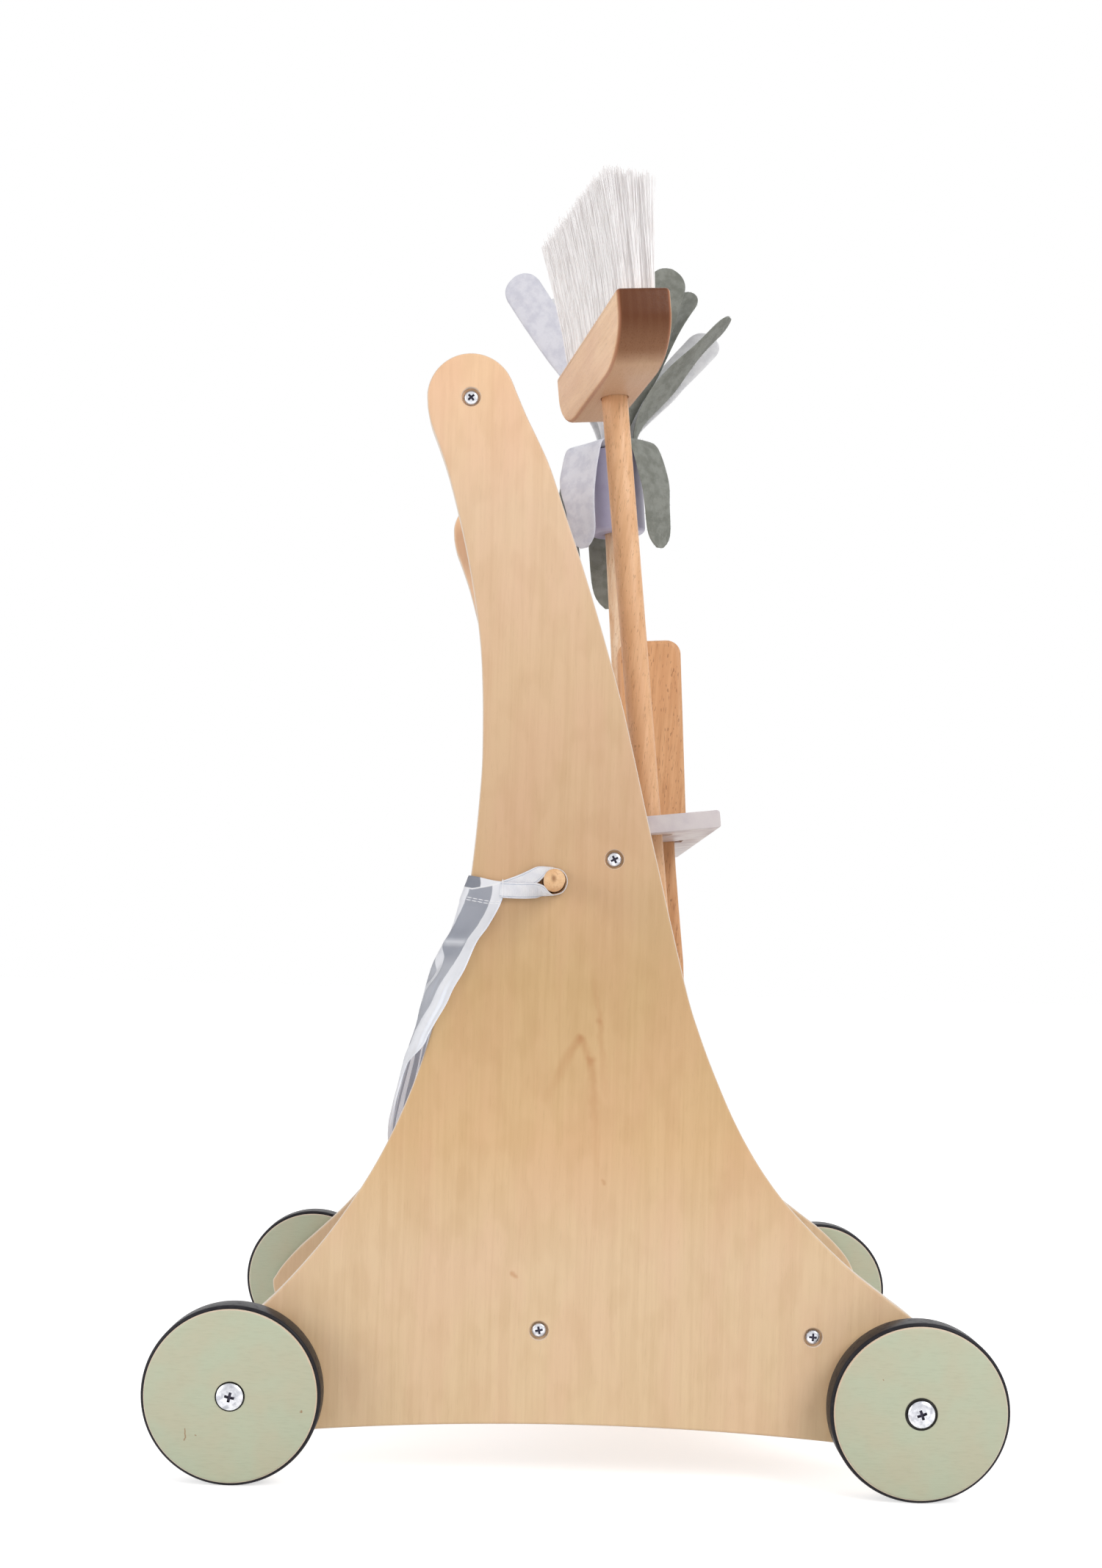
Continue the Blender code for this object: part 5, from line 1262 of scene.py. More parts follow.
def tuft_tree():
    """Fan each root point out into a tuft of filaments that lean and end unevenly."""
    t, given = new_group("plant_tufts", "GeometryNodeTree", [
        ("Roots", "Geometry", None), ("Filaments", "Int", 20), ("Tuft Radius", "Float", 0.001),
        ("Thickness", "Float", 0.0004), ("Steps", "Int", 4), ("Spread", "Float", 0.4),
        ("Jag", "Float", 0.002), ("Stray", "Float", 0.001), ("Seed", "Int", 1),
        ("Finish", "Material", None)], [("Tufts", "Geometry")])

    def chance(low, high, offset):
        return t.add("FunctionNodeRandomValue",
                     {2: low, 3: high, 8: t.sums("ADD", given["Seed"], offset)},
                     data_type="FLOAT").outputs[1]

    def kept(geometry, name, value, kind="FLOAT_VECTOR"):
        return t.add("GeometryNodeStoreNamedAttribute",
                     {"Geometry": geometry, "Name": name, "Value": value},
                     data_type=kind, domain="POINT").outputs[0]

    def moved(geometry, offset):
        return t.add("GeometryNodeSetPosition",
                     {"Geometry": geometry, "Offset": offset}).outputs[0]

    many = t.add("GeometryNodeDuplicateElements",
                 {"Geometry": given["Roots"], "Amount": given["Filaments"]}, domain="POINT")
    angle = chance(0.0, 2 * math.pi, 11)
    radius = t.times(t.sums("SQRT", chance(0.0, 1.0, 23)), given["Tuft Radius"])
    offset = t.combined(t.times(radius, t.sums("COSINE", angle)),
                        t.times(radius, t.sums("SINE", angle)))
    stray = t.combined(t.times(chance(-1.0, 1.0, 37), given["Stray"]),
                       t.times(chance(-1.0, 1.0, 41), given["Stray"]))
    shift = t.vector("ADD", t.vector("SCALE", offset, scale=given["Spread"]), stray)
    roots = kept(moved(many.outputs["Geometry"], offset), "shift",
                 t.vector("ADD", shift, named(t, "lean")))
    reach = t.sums("ADD", named(t, "reach", "FLOAT"), t.times(chance(-1.0, 1.0, 53), given["Jag"]))
    roots = kept(roots, "reach", reach, "FLOAT")
    line = t.add("GeometryNodeCurvePrimitiveLine", {"Start": (0, 0, 0), "End": (0, 0, 1)})
    line = t.add("GeometryNodeResampleCurve", {"Curve": line.outputs[0],
                                               "Count": given["Steps"]})
    copies = t.add("GeometryNodeInstanceOnPoints", {"Points": roots, "Instance": line.outputs[0]})
    real = t.add("GeometryNodeRealizeInstances", {0: copies.outputs[0]}).outputs[0]
    share = t.add("GeometryNodeSplineParameter").outputs["Factor"]
    sway = t.vector("SCALE", named(t, "shift"), scale=t.sums("POWER", share, 1.4))
    lift = t.times(share, t.sums("SUBTRACT", named(t, "reach", "FLOAT"), 1.0))
    ring = t.add("GeometryNodeCurvePrimitiveCircle",
                 {"Resolution": 3, "Radius": t.times(given["Thickness"], 0.5)})
    bend = t.vector("ADD", sway, t.combined(z=lift))
    tubes = t.add("GeometryNodeCurveToMesh", {"Curve": moved(real, bend),
                                              "Profile Curve": ring.outputs[0],
                                              "Fill Caps": True})
    return t.grow(tubes.outputs[0], given["Finish"])


plant_tufts = tuft_tree()


def bristles(name, tufts, place, reach_of, lean_of, finish, **inputs):
    """A field of tufts at a place, one mesh."""
    sink = TUFT_SINK - GAP
    thing = dotted(name, [(x, y, -sink) for x, y, _, _ in tufts],
                   reach=[reach_of(u, v) + sink for _, _, u, v in tufts],
                   lean=[lean_of(u, v) for _, _, u, v in tufts])
    grown(thing, plant_tufts, finish=finish, tuft_radius=TUFT_RADIUS - FILAMENT_THICKNESS,
          thickness=FILAMENT_THICKNESS, **inputs)
    thing.data.transform(place)
    return thing


def nylon_white():
    """White filament, slightly glassy, with faint shade from strand to strand and a painted glow.
    """
    t = new_finish("nylon_white", 0.45, specular=0.4)
    strands = t.speckle(t.stretched(t.where(), (1, 1, 0.06)), BRISTLE_STRANDS, 2.0)
    colour = t.mix(t.span(strands, 0.35, 0.7), BRISTLE_WHITE, BRISTLE_SHADE)
    # Painted light: the filaments glow a little, standing in for light that goes from one filament
    # to the next inside a tuft, so a tuft is never quite dark there
    t.feed(t.shader, {"Base Color": colour, "Emission Color": colour,
                      "Emission Strength": BRISTLE_PAINTED_GLOW,
                      "Roughness": t.span(strands, 0, 1, 0.35, 0.55)})
    return t.material


def broom_reach(u, v):
    even = BRISTLE_NEAR + (BRISTLE_FAR - BRISTLE_NEAR) * (v + 1) / 2 - FIELD_TILT * u
    return even + CLUMP * noise.noise(Vector((CLUMPS_DEEP * u, CLUMPS_LONG * v, 4.0)))


white_nylon = nylon_white()
broom_hair = bristles(
    "broom_filaments", broom_tufts, field_place, broom_reach,
    lambda u, v: ((u - 0.6) * FLARE_DEEP - FAR_LEAN * (v + 1) / 2, v * FLARE_LONG, 0),
    white_nylon, filaments=FILAMENTS, steps=FILAMENT_STEPS, spread=1.0, jag=BRISTLE_JAG,
    stray=0.0020, seed=5)
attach(broom_hair, "broom")
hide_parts("broom_bristles")

# Mop
# A beech stick in a turned ferrule painted lavender. Eleven felt tongues, dark, pale and
# white, are glued round the ferrule's mouth: some flop down round it and some stand up.
FERRULE_HEIGHT = 0.4735
FERRULE_RADIUS = 0.016
FERRULE_LENGTH = 0.0465
FERRULE_ROUNDING = 0.0028
FERRULE_SOCKET = 0.020
MOUTH_RADIUS = 0.0142
MOUTH_DEPTH = 0.014
FERRULE_PAINT = srgb(186, 181, 204)
FERRULE_DEEP = srgb(168, 158, 186)
FELT_STEPS = 6
FELT_ROWS = 34
FELT_TIP_ROWS = 10
FELT_COLUMNS = 8
FELT_FULLNESS = {1: 1.18, 5: 1.35}
FELT_TWIST = {7: 0.42, 9: -0.6}
FELT_CUP = 0.10
FELT_RIPPLE = 0.0005
FELT_THICKNESS = 0.0016
FELT_RELIEF = 0.0002
FELT_BLOTCHES = 160.0
FELT_MATTING = 1500.0
FELT_WAVES = 70
FELT_TIP = 0.9
FELT_TIP_LEAST = 0.06
FIBRE_LENGTH = 0.0011
FIBRE_THICKNESS = 0.00007
FIBRES_PER_METRE_SQUARE = 260000.0
FELT_FINISHES = {
    "dark": (srgb(146, 148, 141), srgb(118, 120, 112), (1, 3, 4, 7, 8, 9)),
    "pale": (srgb(226, 226, 234), srgb(206, 206, 218), (5, 6)),
    "white": (srgb(236, 236, 238), srgb(218, 218, 222), (2, 10, 11)),
}

mop_lean, pole_radius = MOP_STANDS[2:]
ferrule_low = (FERRULE_HEIGHT - mop_place.translation.z) / math.cos(mop_lean)
pole = dowel("mop_pole", pole_radius, ferrule_low + FERRULE_SOCKET - GAP, mop_place,
             STICK_ROUNDING, beech("beech_mop_stick", (0, -mop_lean, 0), (0.9, 0, 0),
                                   flecks=0.4, pale=PALE_STICK, deep=STICK_DEEP))
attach(pole, "mop")
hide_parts("mop_stick")

socket = pole_radius + GAP
lip = (FERRULE_RADIUS - MOUTH_RADIUS) / 2
profile = [(0, FERRULE_SOCKET), (socket, FERRULE_SOCKET), (socket, HOLE_CHAMFER),
           (socket + HOLE_CHAMFER, 0)]
profile += [(FERRULE_RADIUS - FERRULE_ROUNDING * (1 - sine), FERRULE_ROUNDING * (1 - cosine))
            for sine, cosine in quarter(5)]
profile += [(MOUTH_RADIUS + lip * (1 + math.cos(angle)),
             FERRULE_LENGTH - lip * (1 - math.sin(angle)))
            for angle in (math.pi * step / 5 for step in range(6))]
profile += [(MOUTH_RADIUS, FERRULE_LENGTH - MOUTH_DEPTH), (0, FERRULE_LENGTH - MOUTH_DEPTH)]
ferrule = turned("mop_socket", profile, DOWEL_SIDES,
                 mop_place @ Matrix.Translation((0, 0, ferrule_low)),
                 lavender_paint("lavender_paint", FERRULE_PAINT, FERRULE_DEEP, (0.3, 0.42)))
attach(ferrule, "mop")
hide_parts("mop_ferrule")


def felt(name, colour, deep):
    """Pressed wool felt: matted fibres in every direction, blotched and quite matt."""
    t = new_finish(name, 0.95, specular=0.1)
    blotch = t.span(t.speckle(t.where(), FELT_BLOTCHES, 4.0, 0.6), 0.38, 0.66)
    mat_fibres = t.speckle(t.where(), FELT_MATTING, 3.0, 0.7, 1.2)
    tint = t.mix(t.times(blotch, 0.75), colour, deep)
    t.feed(t.shader, {"Sheen Weight": 0.25, "Sheen Roughness": 0.5})
    return t.dress(t.mix(t.span(mat_fibres, 0.55, 0.8, 0, 0.5), tint, deep), None, mat_fibres,
                   FELT_RELIEF)


def ribs_of(node, along):
    """The cross-sections of a CAD felt strip from its root: middle and half-width vector."""
    bm = bmesh.new()
    bm.from_mesh(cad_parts[node].data)
    bmesh.ops.remove_doubles(bm, verts=bm.verts, dist=1e-6)
    ring = sorted(bm.verts, key=lambda corner: corner.co.dot(along))[:4]
    ribs, seen = [], set()
    while ring:
        seen.update(ring)
        first = ring[0]
        mate = min(ring[1:], key=lambda corner: (corner.co - first.co).length)
        others = [corner for corner in ring[1:] if corner is not mate]
        middle = sum((corner.co for corner in ring), Vector()) / len(ring)
        half = (others[0].co + others[1].co - first.co - mate.co) / 4
        if ribs and half.dot(ribs[-1][1]) < 0:
            half = -half
        ribs.append((middle, half))
        ring = list({edge.other_vert(corner) for corner in ring for edge in corner.link_edges}
                    - seen)
    bm.free()
    return ribs


def ramp(value, low, high):
    t = min(max((value - low) / (high - low), 0.0), 1.0)
    return t * t * (3 - 2 * t)


def flat_section(columns):
    """Round a flat section with soft edges: face, place across and share of the thickness."""
    for way, order in ((1, range(-columns, columns + 1)), (-1, range(columns - 1, -columns, -1))):
        for column in order:
            across = math.sin(math.pi / 2 * column / columns)
            yield way, across, (1 - abs(across) ** 6) ** 0.5


def axis_at(spot):
    """The point of the mop's axis that is level with a spot."""
    foot, along = mop_place.translation, mop_place.col[2].to_3d()
    return foot + along * (spot - foot).dot(along)


def felt_tongue(node, along, seed):
    """A soft tongue along a CAD strip, round-ended, with a slight cup and a ripple."""
    middles, halves = (eased_line(list(values), FELT_STEPS)
                       for values in zip(*ribs_of(node, along)))
    lengths = [0.0]
    for before, after in zip(middles, middles[1:]):
        lengths.append(lengths[-1] + (after - before).length)

    def at(values, share):
        reach = share * lengths[-1]
        k = max(index for index, length in enumerate(lengths[:-1]) if length <= reach)
        part = (reach - lengths[k]) / (lengths[k + 1] - lengths[k])
        return values[k] + (values[k + 1] - values[k]) * min(part, 1.0)

    # It keeps the widest width it has reached up to the round end
    wide = [max(half.length for half in halves[:k + 1]) for k in range(len(halves))]
    full = FELT_FULLNESS.get(seed, 1.06)
    broad = wide[-1] * full
    tip = 1 - min(FELT_TIP * broad / lengths[-1], 0.5)
    stations = [(tip * k / FELT_ROWS, 1.0) for k in range(FELT_ROWS + 1)]
    stations += [(tip + (1 - tip) * sine, max(cosine ** 0.85, FELT_TIP_LEAST))
                 for sine, cosine in quarter(FELT_TIP_ROWS, 1)]
    bm = bmesh.new()
    rings = []
    for share, factor in stations:
        middle = at(middles, share)
        half = at(halves, share).normalized() * at(wide, share) * factor
        # The full ones bulge away from the ferrule
        fuller = 1 + (full - 1) * ramp(share, 0.2, 0.5)
        outward = math.copysign(0.7, half.dot(middle - axis_at(middle)))
        middle = middle + half * outward * (fuller - 1)
        ahead = at(middles, min(share + 0.02, 1.0)) - at(middles, max(share - 0.02, 0.0))
        twist = FELT_TWIST.get(seed, 0.0) * ramp(share, 0.35, 0.85)
        half = Matrix.Rotation(twist, 3, ahead.normalized()) @ (half * fuller)
        face = ahead.cross(half).normalized()
        free = min(share * 2.0, 1.0)
        ring = []
        for way, across, thick in flat_section(FELT_COLUMNS):
            spot = middle + half * across
            wave = FELT_RIPPLE * noise.noise(spot * FELT_WAVES + Vector((seed * 3.1, 0, 0)))
            bow = (FELT_CUP * broad * (across ** 2 - 0.4) * 0.5 + wave) * free
            ring.append(bm.verts.new(spot + face * (way * (FELT_THICKNESS / 2 * thick) + bow)))
        rings.append(ring)
    skin(bm, rings)
    return bm


def fuzz_tree():
    """Stand short stray fibres on a felt surface, lying over at random."""
    t, given = new_group("raise_fibres", "GeometryNodeTree", [
        ("Felt", "Geometry", None), ("Density", "Float", 1000.0), ("Length", "Float", 0.001),
        ("Thickness", "Float", 0.0001), ("Seed", "Int", 1), ("Finish", "Material", None)],
        [("Fuzzy", "Geometry")])
    spots = t.add("GeometryNodeDistributePointsOnFaces",
                  {"Mesh": given["Felt"], "Density": given["Density"], "Seed": given["Seed"]})
    tilt = t.add("FunctionNodeRandomValue", {0: (-1.2, -1.2, -3.1), 1: (1.2, 1.2, 3.1),
                                             8: given["Seed"]}, data_type="FLOAT_VECTOR")
    lean = t.add("FunctionNodeEulerToRotation", {0: tilt.outputs[0]})
    turn = t.add("FunctionNodeRotateRotation",
                 {"Rotation": spots.outputs["Rotation"], "Rotate By": lean.outputs[0]},
                 rotation_space="LOCAL")
    size = t.add("FunctionNodeRandomValue", {2: 0.4, 3: 1.0, 8: given["Seed"]},
                 data_type="FLOAT").outputs[1]
    fibre = t.add("GeometryNodeMeshCone",
                  {"Vertices": 3, "Radius Bottom": given["Thickness"],
                   "Radius Top": t.times(given["Thickness"], 0.3), "Depth": given["Length"]},
                  fill_type="TRIANGLE_FAN")
    copies = t.add("GeometryNodeInstanceOnPoints",
                   {"Points": spots.outputs["Points"], "Instance": fibre.outputs["Mesh"],
                    "Rotation": turn.outputs[0], "Scale": size})
    joined = t.add("GeometryNodeJoinGeometry", {0: given["Felt"]})
    t.tree.links.new(copies.outputs[0], joined.inputs[0])
    return t.grow(joined.outputs[0], given["Finish"])


raise_fibres = fuzz_tree()
for shade, (colour, deep, numbers) in FELT_FINISHES.items():
    wool = felt("felt_" + shade, colour, deep)
    for number in numbers:
        bm = felt_tongue("felt_strip_%d" % number, mop_place.col[2].to_3d(), number)
        tongue = shown("felt_tongue_%d" % number, bm, wool, crease=80)
        grown(tongue, raise_fibres, density=FIBRES_PER_METRE_SQUARE, length=FIBRE_LENGTH,
              thickness=FIBRE_THICKNESS, seed=number, finish=wool)
        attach(tongue, "mop")
        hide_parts("felt_strip_%d" % number)

# Hand brush
# A flat beech paddle with rounded edges, hung in the rack by its shoulders, head up. Short
# white filaments are set in rows of holes in the side that faces the mop.
BRUSH_THICKNESS = 0.015
BRUSH_HEAD_LENGTH = 0.090
BRUSH_CORNER = 0.007
BRUSH_SHOULDER = 0.0006
BRUSH_NECK = 0.0195
BRUSH_GRIP = 0.024
BRUSH_HANDLE = 0.105
BRUSH_NECK_SHARE = 0.2
BRUSH_GRIP_SHARE = 0.65
BRUSH_ROUNDING = 0.0024
BRUSH_FIELD = (0.074, 0.0195)
BRUSH_TUFTS = (16, 5)
BRUSH_BRISTLE = 0.0237
BRUSH_FLARE = 0.0015
BRUSH_PALE = srgb(222, 172, 126)
BRUSH_DEEP = srgb(190, 134, 88)


def paddle_outline():
    """Head with rounded top corners, square shoulders, slim neck and a fuller grip."""
    head, neck, grip = BRUSH_HEAD_WIDTH / 2, BRUSH_NECK / 2, BRUSH_GRIP / 2
    swell = eased_line([Vector((neck, 0)), Vector((neck, -BRUSH_NECK_SHARE * BRUSH_HANDLE)),
                        Vector((grip, -BRUSH_GRIP_SHARE * BRUSH_HANDLE))], 12)
    right = [(grip * sine, grip * (1 - cosine) - BRUSH_HANDLE) for sine, cosine in quarter(14)]
    right += [tuple(point) for point in reversed(swell[1:])]
    right += [(neck, 0), (head - BRUSH_SHOULDER, 0)]
    right += [(head - BRUSH_SHOULDER * (1 - sine), BRUSH_SHOULDER * (1 - cosine))
              for sine, cosine in quarter(3)]
    right += [(head - BRUSH_CORNER * (1 - cosine), BRUSH_HEAD_LENGTH - BRUSH_CORNER * (1 - sine))
              for sine, cosine in quarter(10)]
    outline = []
    for point in right + [(-x, z) for x, z in reversed(right) if x > 1e-6]:
        if not outline or (Vector(point) - Vector(outline[-1])).length > 1e-5:
            outline.append(point)
    return outline


bm = rounded_board(paddle_outline(), -BRUSH_THICKNESS / 2, BRUSH_THICKNESS / 2, BRUSH_ROUNDING,
                   place=brush_place)
paddle = shown("brush_paddle", bm, beech("beech_paddle", (0, -BRUSH_HANGS[2], 0), (0.2, 0.1, 0),
                                         pale=BRUSH_PALE, deep=BRUSH_DEEP))
field_place = (brush_place @ Matrix.Translation((0, BRUSH_THICKNESS / 2, BRUSH_HEAD_LENGTH / 2))
               @ Matrix.Rotation(-math.pi / 2, 4, "X"))
brush_tufts = tuft_rows(*BRUSH_FIELD, *BRUSH_TUFTS)
bored(paddle, tuft_holes(bmesh.new(), brush_tufts, field_place))
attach(paddle, "hand_brush")
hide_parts("hand_brush_body")
brush_hair = bristles(
    "brush_filaments", brush_tufts, field_place, lambda u, v: BRUSH_BRISTLE,
    lambda u, v: (u * BRUSH_FLARE, v * BRUSH_FLARE, 0), white_nylon, filaments=28, steps=3,
    spread=0.5, jag=0.0008, stray=0.0009, seed=9)
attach(brush_hair, "hand_brush")
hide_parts("hand_brush_bristles")

# Apron
# A child's striped cotton apron, turned over and stitched along the top, with white binding
# round it. It hangs by its corner loops, wrapped round the panels' rear edges and gathered below.
APRON_TOP = 0.267
APRON_DROP = 0.172
APRON_MIDDLE = 0.1504
APRON_BEND = 0.0035
APRON_STRAIGHT = APRON_MIDDLE - APRON_BEND
APRON_SAG = 0.010
APRON_FOLD = 0.0085
APRON_FOLDS = 5
APRON_RIPPLE = 0.0022
RIPPLES_ACROSS = 26
RIPPLES_DOWN = 9
CORNER_DROP = 0.0024
# The cloth's rearmost line behind the panels: height and forward place
APRON_REAR = ((0.149, -0.0870), (0.1645, -0.0840), (0.176, -0.0810), (0.190, -0.0775),
              (0.201, -0.0740), (0.211, -0.0720), (0.223, -0.0690), (0.229, -0.0670),
              (0.237, -0.0630), (0.243, -0.0598), (0.256, -0.0562), (0.262, -0.0542),
              (0.2666, -0.0528))
# Its side border where it lies on the panels' faces: height and forward place
APRON_BORDER = ((0.194, -0.0690), (0.201, -0.0660), (0.210, -0.0610), (0.217, -0.0580),
                (0.225, -0.0535), (0.238, -0.0480), (0.245, -0.0432), (0.2574, -0.0373),
                (0.267, -0.0371))
# Below that the border is gathered in between the panels: height and way from the middle
APRON_TUCKED = ((0.095, 0.1289), (0.150, 0.1341), (0.169, 0.1445), (0.182, 0.1500))
# How broad the binding looks at a height, to its own width, and how far the stripe beside
# it is gathered
BINDING_LOOK = ((0.19, 0.82), (0.222, 0.82), (0.237, 1.2), (0.25, 1.2), (0.257, 1.1),
                (0.267, 1.1))
APRON_GATHER = ((0.19, 2.8), (0.208, 2.8), (0.2156, 2.4), (0.222, 2.2), (0.229, 1.85),
                (0.2377, 1.0), (0.267, 1.0))
# Painted highlight and shade along the folds: strength, height, breadth, and from where to where
# it rises
FOLD_PAINTED_LIGHT_ROWS = ((0.62, 0.2374, 0.0014, 0.0045, 0.006), (-0.24, 0.2415, 0.0028, 0.005, 0.008),
              (-0.10, 0.2335, 0.0016, 0.007, 0.009))
BINDING = 0.0055
GATHERED_EDGE = 0.0155
STRIPE_GREY = 0.0104
STRIPE_WHITE = 0.0080
HEM_BAND = 0.0055
HEM_RAMP = 0.0150
HEM_DEPTH = 0.0105
HEM_STRIPES = 0.0112
STITCH_GAP = 0.0011
# Small folds beside the border: how high each stands, and where, at what height and breadth
CREASE_HIGH = 0.0008
CREASE_AT = (0.2372, 0.0016)
WRINKLE_HIGH = 0.0005
WRINKLES = 1100
PUCKER_HIGH = 0.0003
PUCKERS = 60
LOBE_REACH = 0.0100
LOBE_AT = (0.2224, 0.0048)
CLOTH_HALF = 0.00032
HEM_HALF = 0.00062
APRON_ROWS = 140
APRON_BACK_COLUMNS = 60
APRON_EDGE_COLUMNS = 52
APRON_EDGE_REACH = 0.036
COTTON_WHITE = srgb(238, 239, 244)
COTTON_GREY = srgb(166, 169, 179)
COTTON_DARK = srgb(142, 145, 155)
COTTON_SHADE = srgb(206, 209, 220)
COTTON_PAINTED_GLOW_TINT = srgb(206, 226, 244)
COTTON_PAINTED_GLOW = 0.42
HEM_FOLD_PAINTED_HIGHLIGHT = (0.93, 0.93, 0.95, 1)
WEAVE = 15000.0
WEAVE_RELIEF = 0.00004
WEAVE_DRIFT = 0.0003
DRIFT_SPOTS = 260.0
COTTON_CLOUDS = 90.0
STITCH_LENGTH = 0.0023
STITCH_PITCH = 1.12
STITCH_THICKNESS = 0.00036
STITCH_WAVE = 0.00003
CORNER_STITCHES = 6
CORNER_PITCH = 0.0012
THREAD_WHITE = srgb(246, 246, 249)


def eased_value(table, at):
    """A smooth value between the (place, value) rows of a table."""
    at = min(max(at, table[0][0]), table[-1][0])
    index = max(k for k, row in enumerate(table[:-1]) if row[0] <= at)
    slopes = []
    for k in (index, index + 1):
        before, after = table[max(k - 1, 0)], table[min(k + 1, len(table) - 1)]
        turns = (after[1] - table[k][1]) * (table[k][1] - before[1]) <= 0
        slopes.append(0.0 if turns else (after[1] - before[1]) / (after[0] - before[0]))
    (low, start), (high, end) = table[index], table[index + 1]
    step = high - low
    t = (at - low) / step
    return (start * (2 * t ** 3 - 3 * t ** 2 + 1) + slopes[0] * step * (t ** 3 - 2 * t ** 2 + t)
            + end * (3 * t ** 2 - 2 * t ** 3) + slopes[1] * step * (t ** 3 - t ** 2))


def hump(height, middle, breadth):
    """One at a middle height, fading away above and below it."""
    return math.exp(-((height - middle) / breadth) ** 2)


def border_at(down):
    """How far the side border reaches from the middle, this share of the way down."""
    height = APRON_TOP - APRON_DROP * down - CORNER_DROP * (1 - ramp(down, 0.0, 0.2))
    wrapped = (eased_value(APRON_BORDER, height) - eased_value(APRON_REAR, height) - CLOTH_HALF
               + APRON_MIDDLE + APRON_BEND * (math.pi / 2 - 2))
    tucked = eased_value(APRON_TUCKED, height)
    return tucked + (wrapped - tucked) * ramp(height, 0.182, 0.196)


def apron_spot(run, down, border):
    """The cloth's middle surface: run is the way across it from the middle, + is left."""
    side = -1 if run < 0 else 1
    way = abs(run)
    bend = APRON_BEND * math.pi / 2
    wrapped = ramp(way, APRON_STRAIGHT, APRON_STRAIGHT + bend + 0.012)
    height = APRON_TOP - APRON_DROP * down
    height -= APRON_SAG * max(1 - (way / APRON_STRAIGHT) ** 2, 0) * (1 - down)
    height -= CORNER_DROP * wrapped * (1 - ramp(down, 0.0, 0.2))
    back = eased_value(APRON_REAR, height) + CLOTH_HALF
    off = border - way
    if way <= APRON_STRAIGHT:
        fold = math.sin(APRON_FOLDS * math.pi / 2 * min(way / border, 1.0)) ** 2
        inside = max(1 - (way / PANEL_INSIDE) ** 4, 0)
        ripple = APRON_RIPPLE * noise.noise(
            Vector((run * RIPPLES_ACROSS, height * RIPPLES_DOWN, 3.0)))
        ripple *= ramp(down, 0.02, 0.3)
        return Vector((back + (APRON_FOLD * down * fold + ripple) * inside, run, height))
    crease = CREASE_HIGH * hump(height, *CREASE_AT) * ramp(off, 0.004, 0.007)
    crease += WRINKLE_HIGH * (1 + math.sin(off * WRINKLES + down * 9)) * ramp(down, 0.2, 0.32)
    crease += PUCKER_HIGH * (1 + noise.noise(Vector((way * PUCKERS, height * PUCKERS, 8.0))))
    if way <= APRON_STRAIGHT + bend:
        angle = (way - APRON_STRAIGHT) / APRON_BEND
        out = APRON_BEND + crease * math.sin(angle)
        return Vector((back + APRON_BEND - out * math.cos(angle),
                       side * (APRON_STRAIGHT + out * math.sin(angle)), height))
    return Vector((back + way - APRON_STRAIGHT - bend + APRON_BEND,
                   side * (APRON_MIDDLE + crease), height))


def flat_reach(off, border, height, widest):
    """How far in from the side border a point lay before the cloth was gathered."""
    look = eased_value(BINDING_LOOK, height)
    gather = eased_value(APRON_GATHER, height)

    def gathered(reach):
        seen = reach * look
        return seen if seen < BINDING else BINDING + (reach - BINDING / look) * gather

    lobe = LOBE_REACH * hump(height, *LOBE_AT) * ramp(off, 0.0100, 0.0120)
    lobe *= 1 - ramp(off, GATHERED_EDGE, GATHERED_EDGE + 0.055)
    if off < GATHERED_EDGE:
        return gathered(off) + lobe
    # Across the back the rest of the cloth is laid in evenly, up to its middle
    start = gathered(GATHERED_EDGE)
    share = (off - GATHERED_EDGE) / (border - GATHERED_EDGE)
    return start + (widest - start) * share + lobe


def fold_tone(off, height):
    """Painted highlight and shade along the folds beside the border; it also lightens the cloth
    below a height of 0.226 m.
    """
    tone = sum(strength * hump(height, middle, breadth) * ramp(off, start, end)
               for strength, middle, breadth, start, end in FOLD_PAINTED_LIGHT_ROWS)
    tone += 0.30 * (1 - ramp(height, 0.226, 0.233))
    return tone * (1 - ramp(off, 0.022, 0.04))


def laid_flat(bm, layer, flat_of):
    """Keep where each corner lies on the flat cloth, for the weave to follow."""
    for face in bm.faces:
        for loop in face.loops:
            loop[layer].uv = flat_of[loop.vert]
    return bm


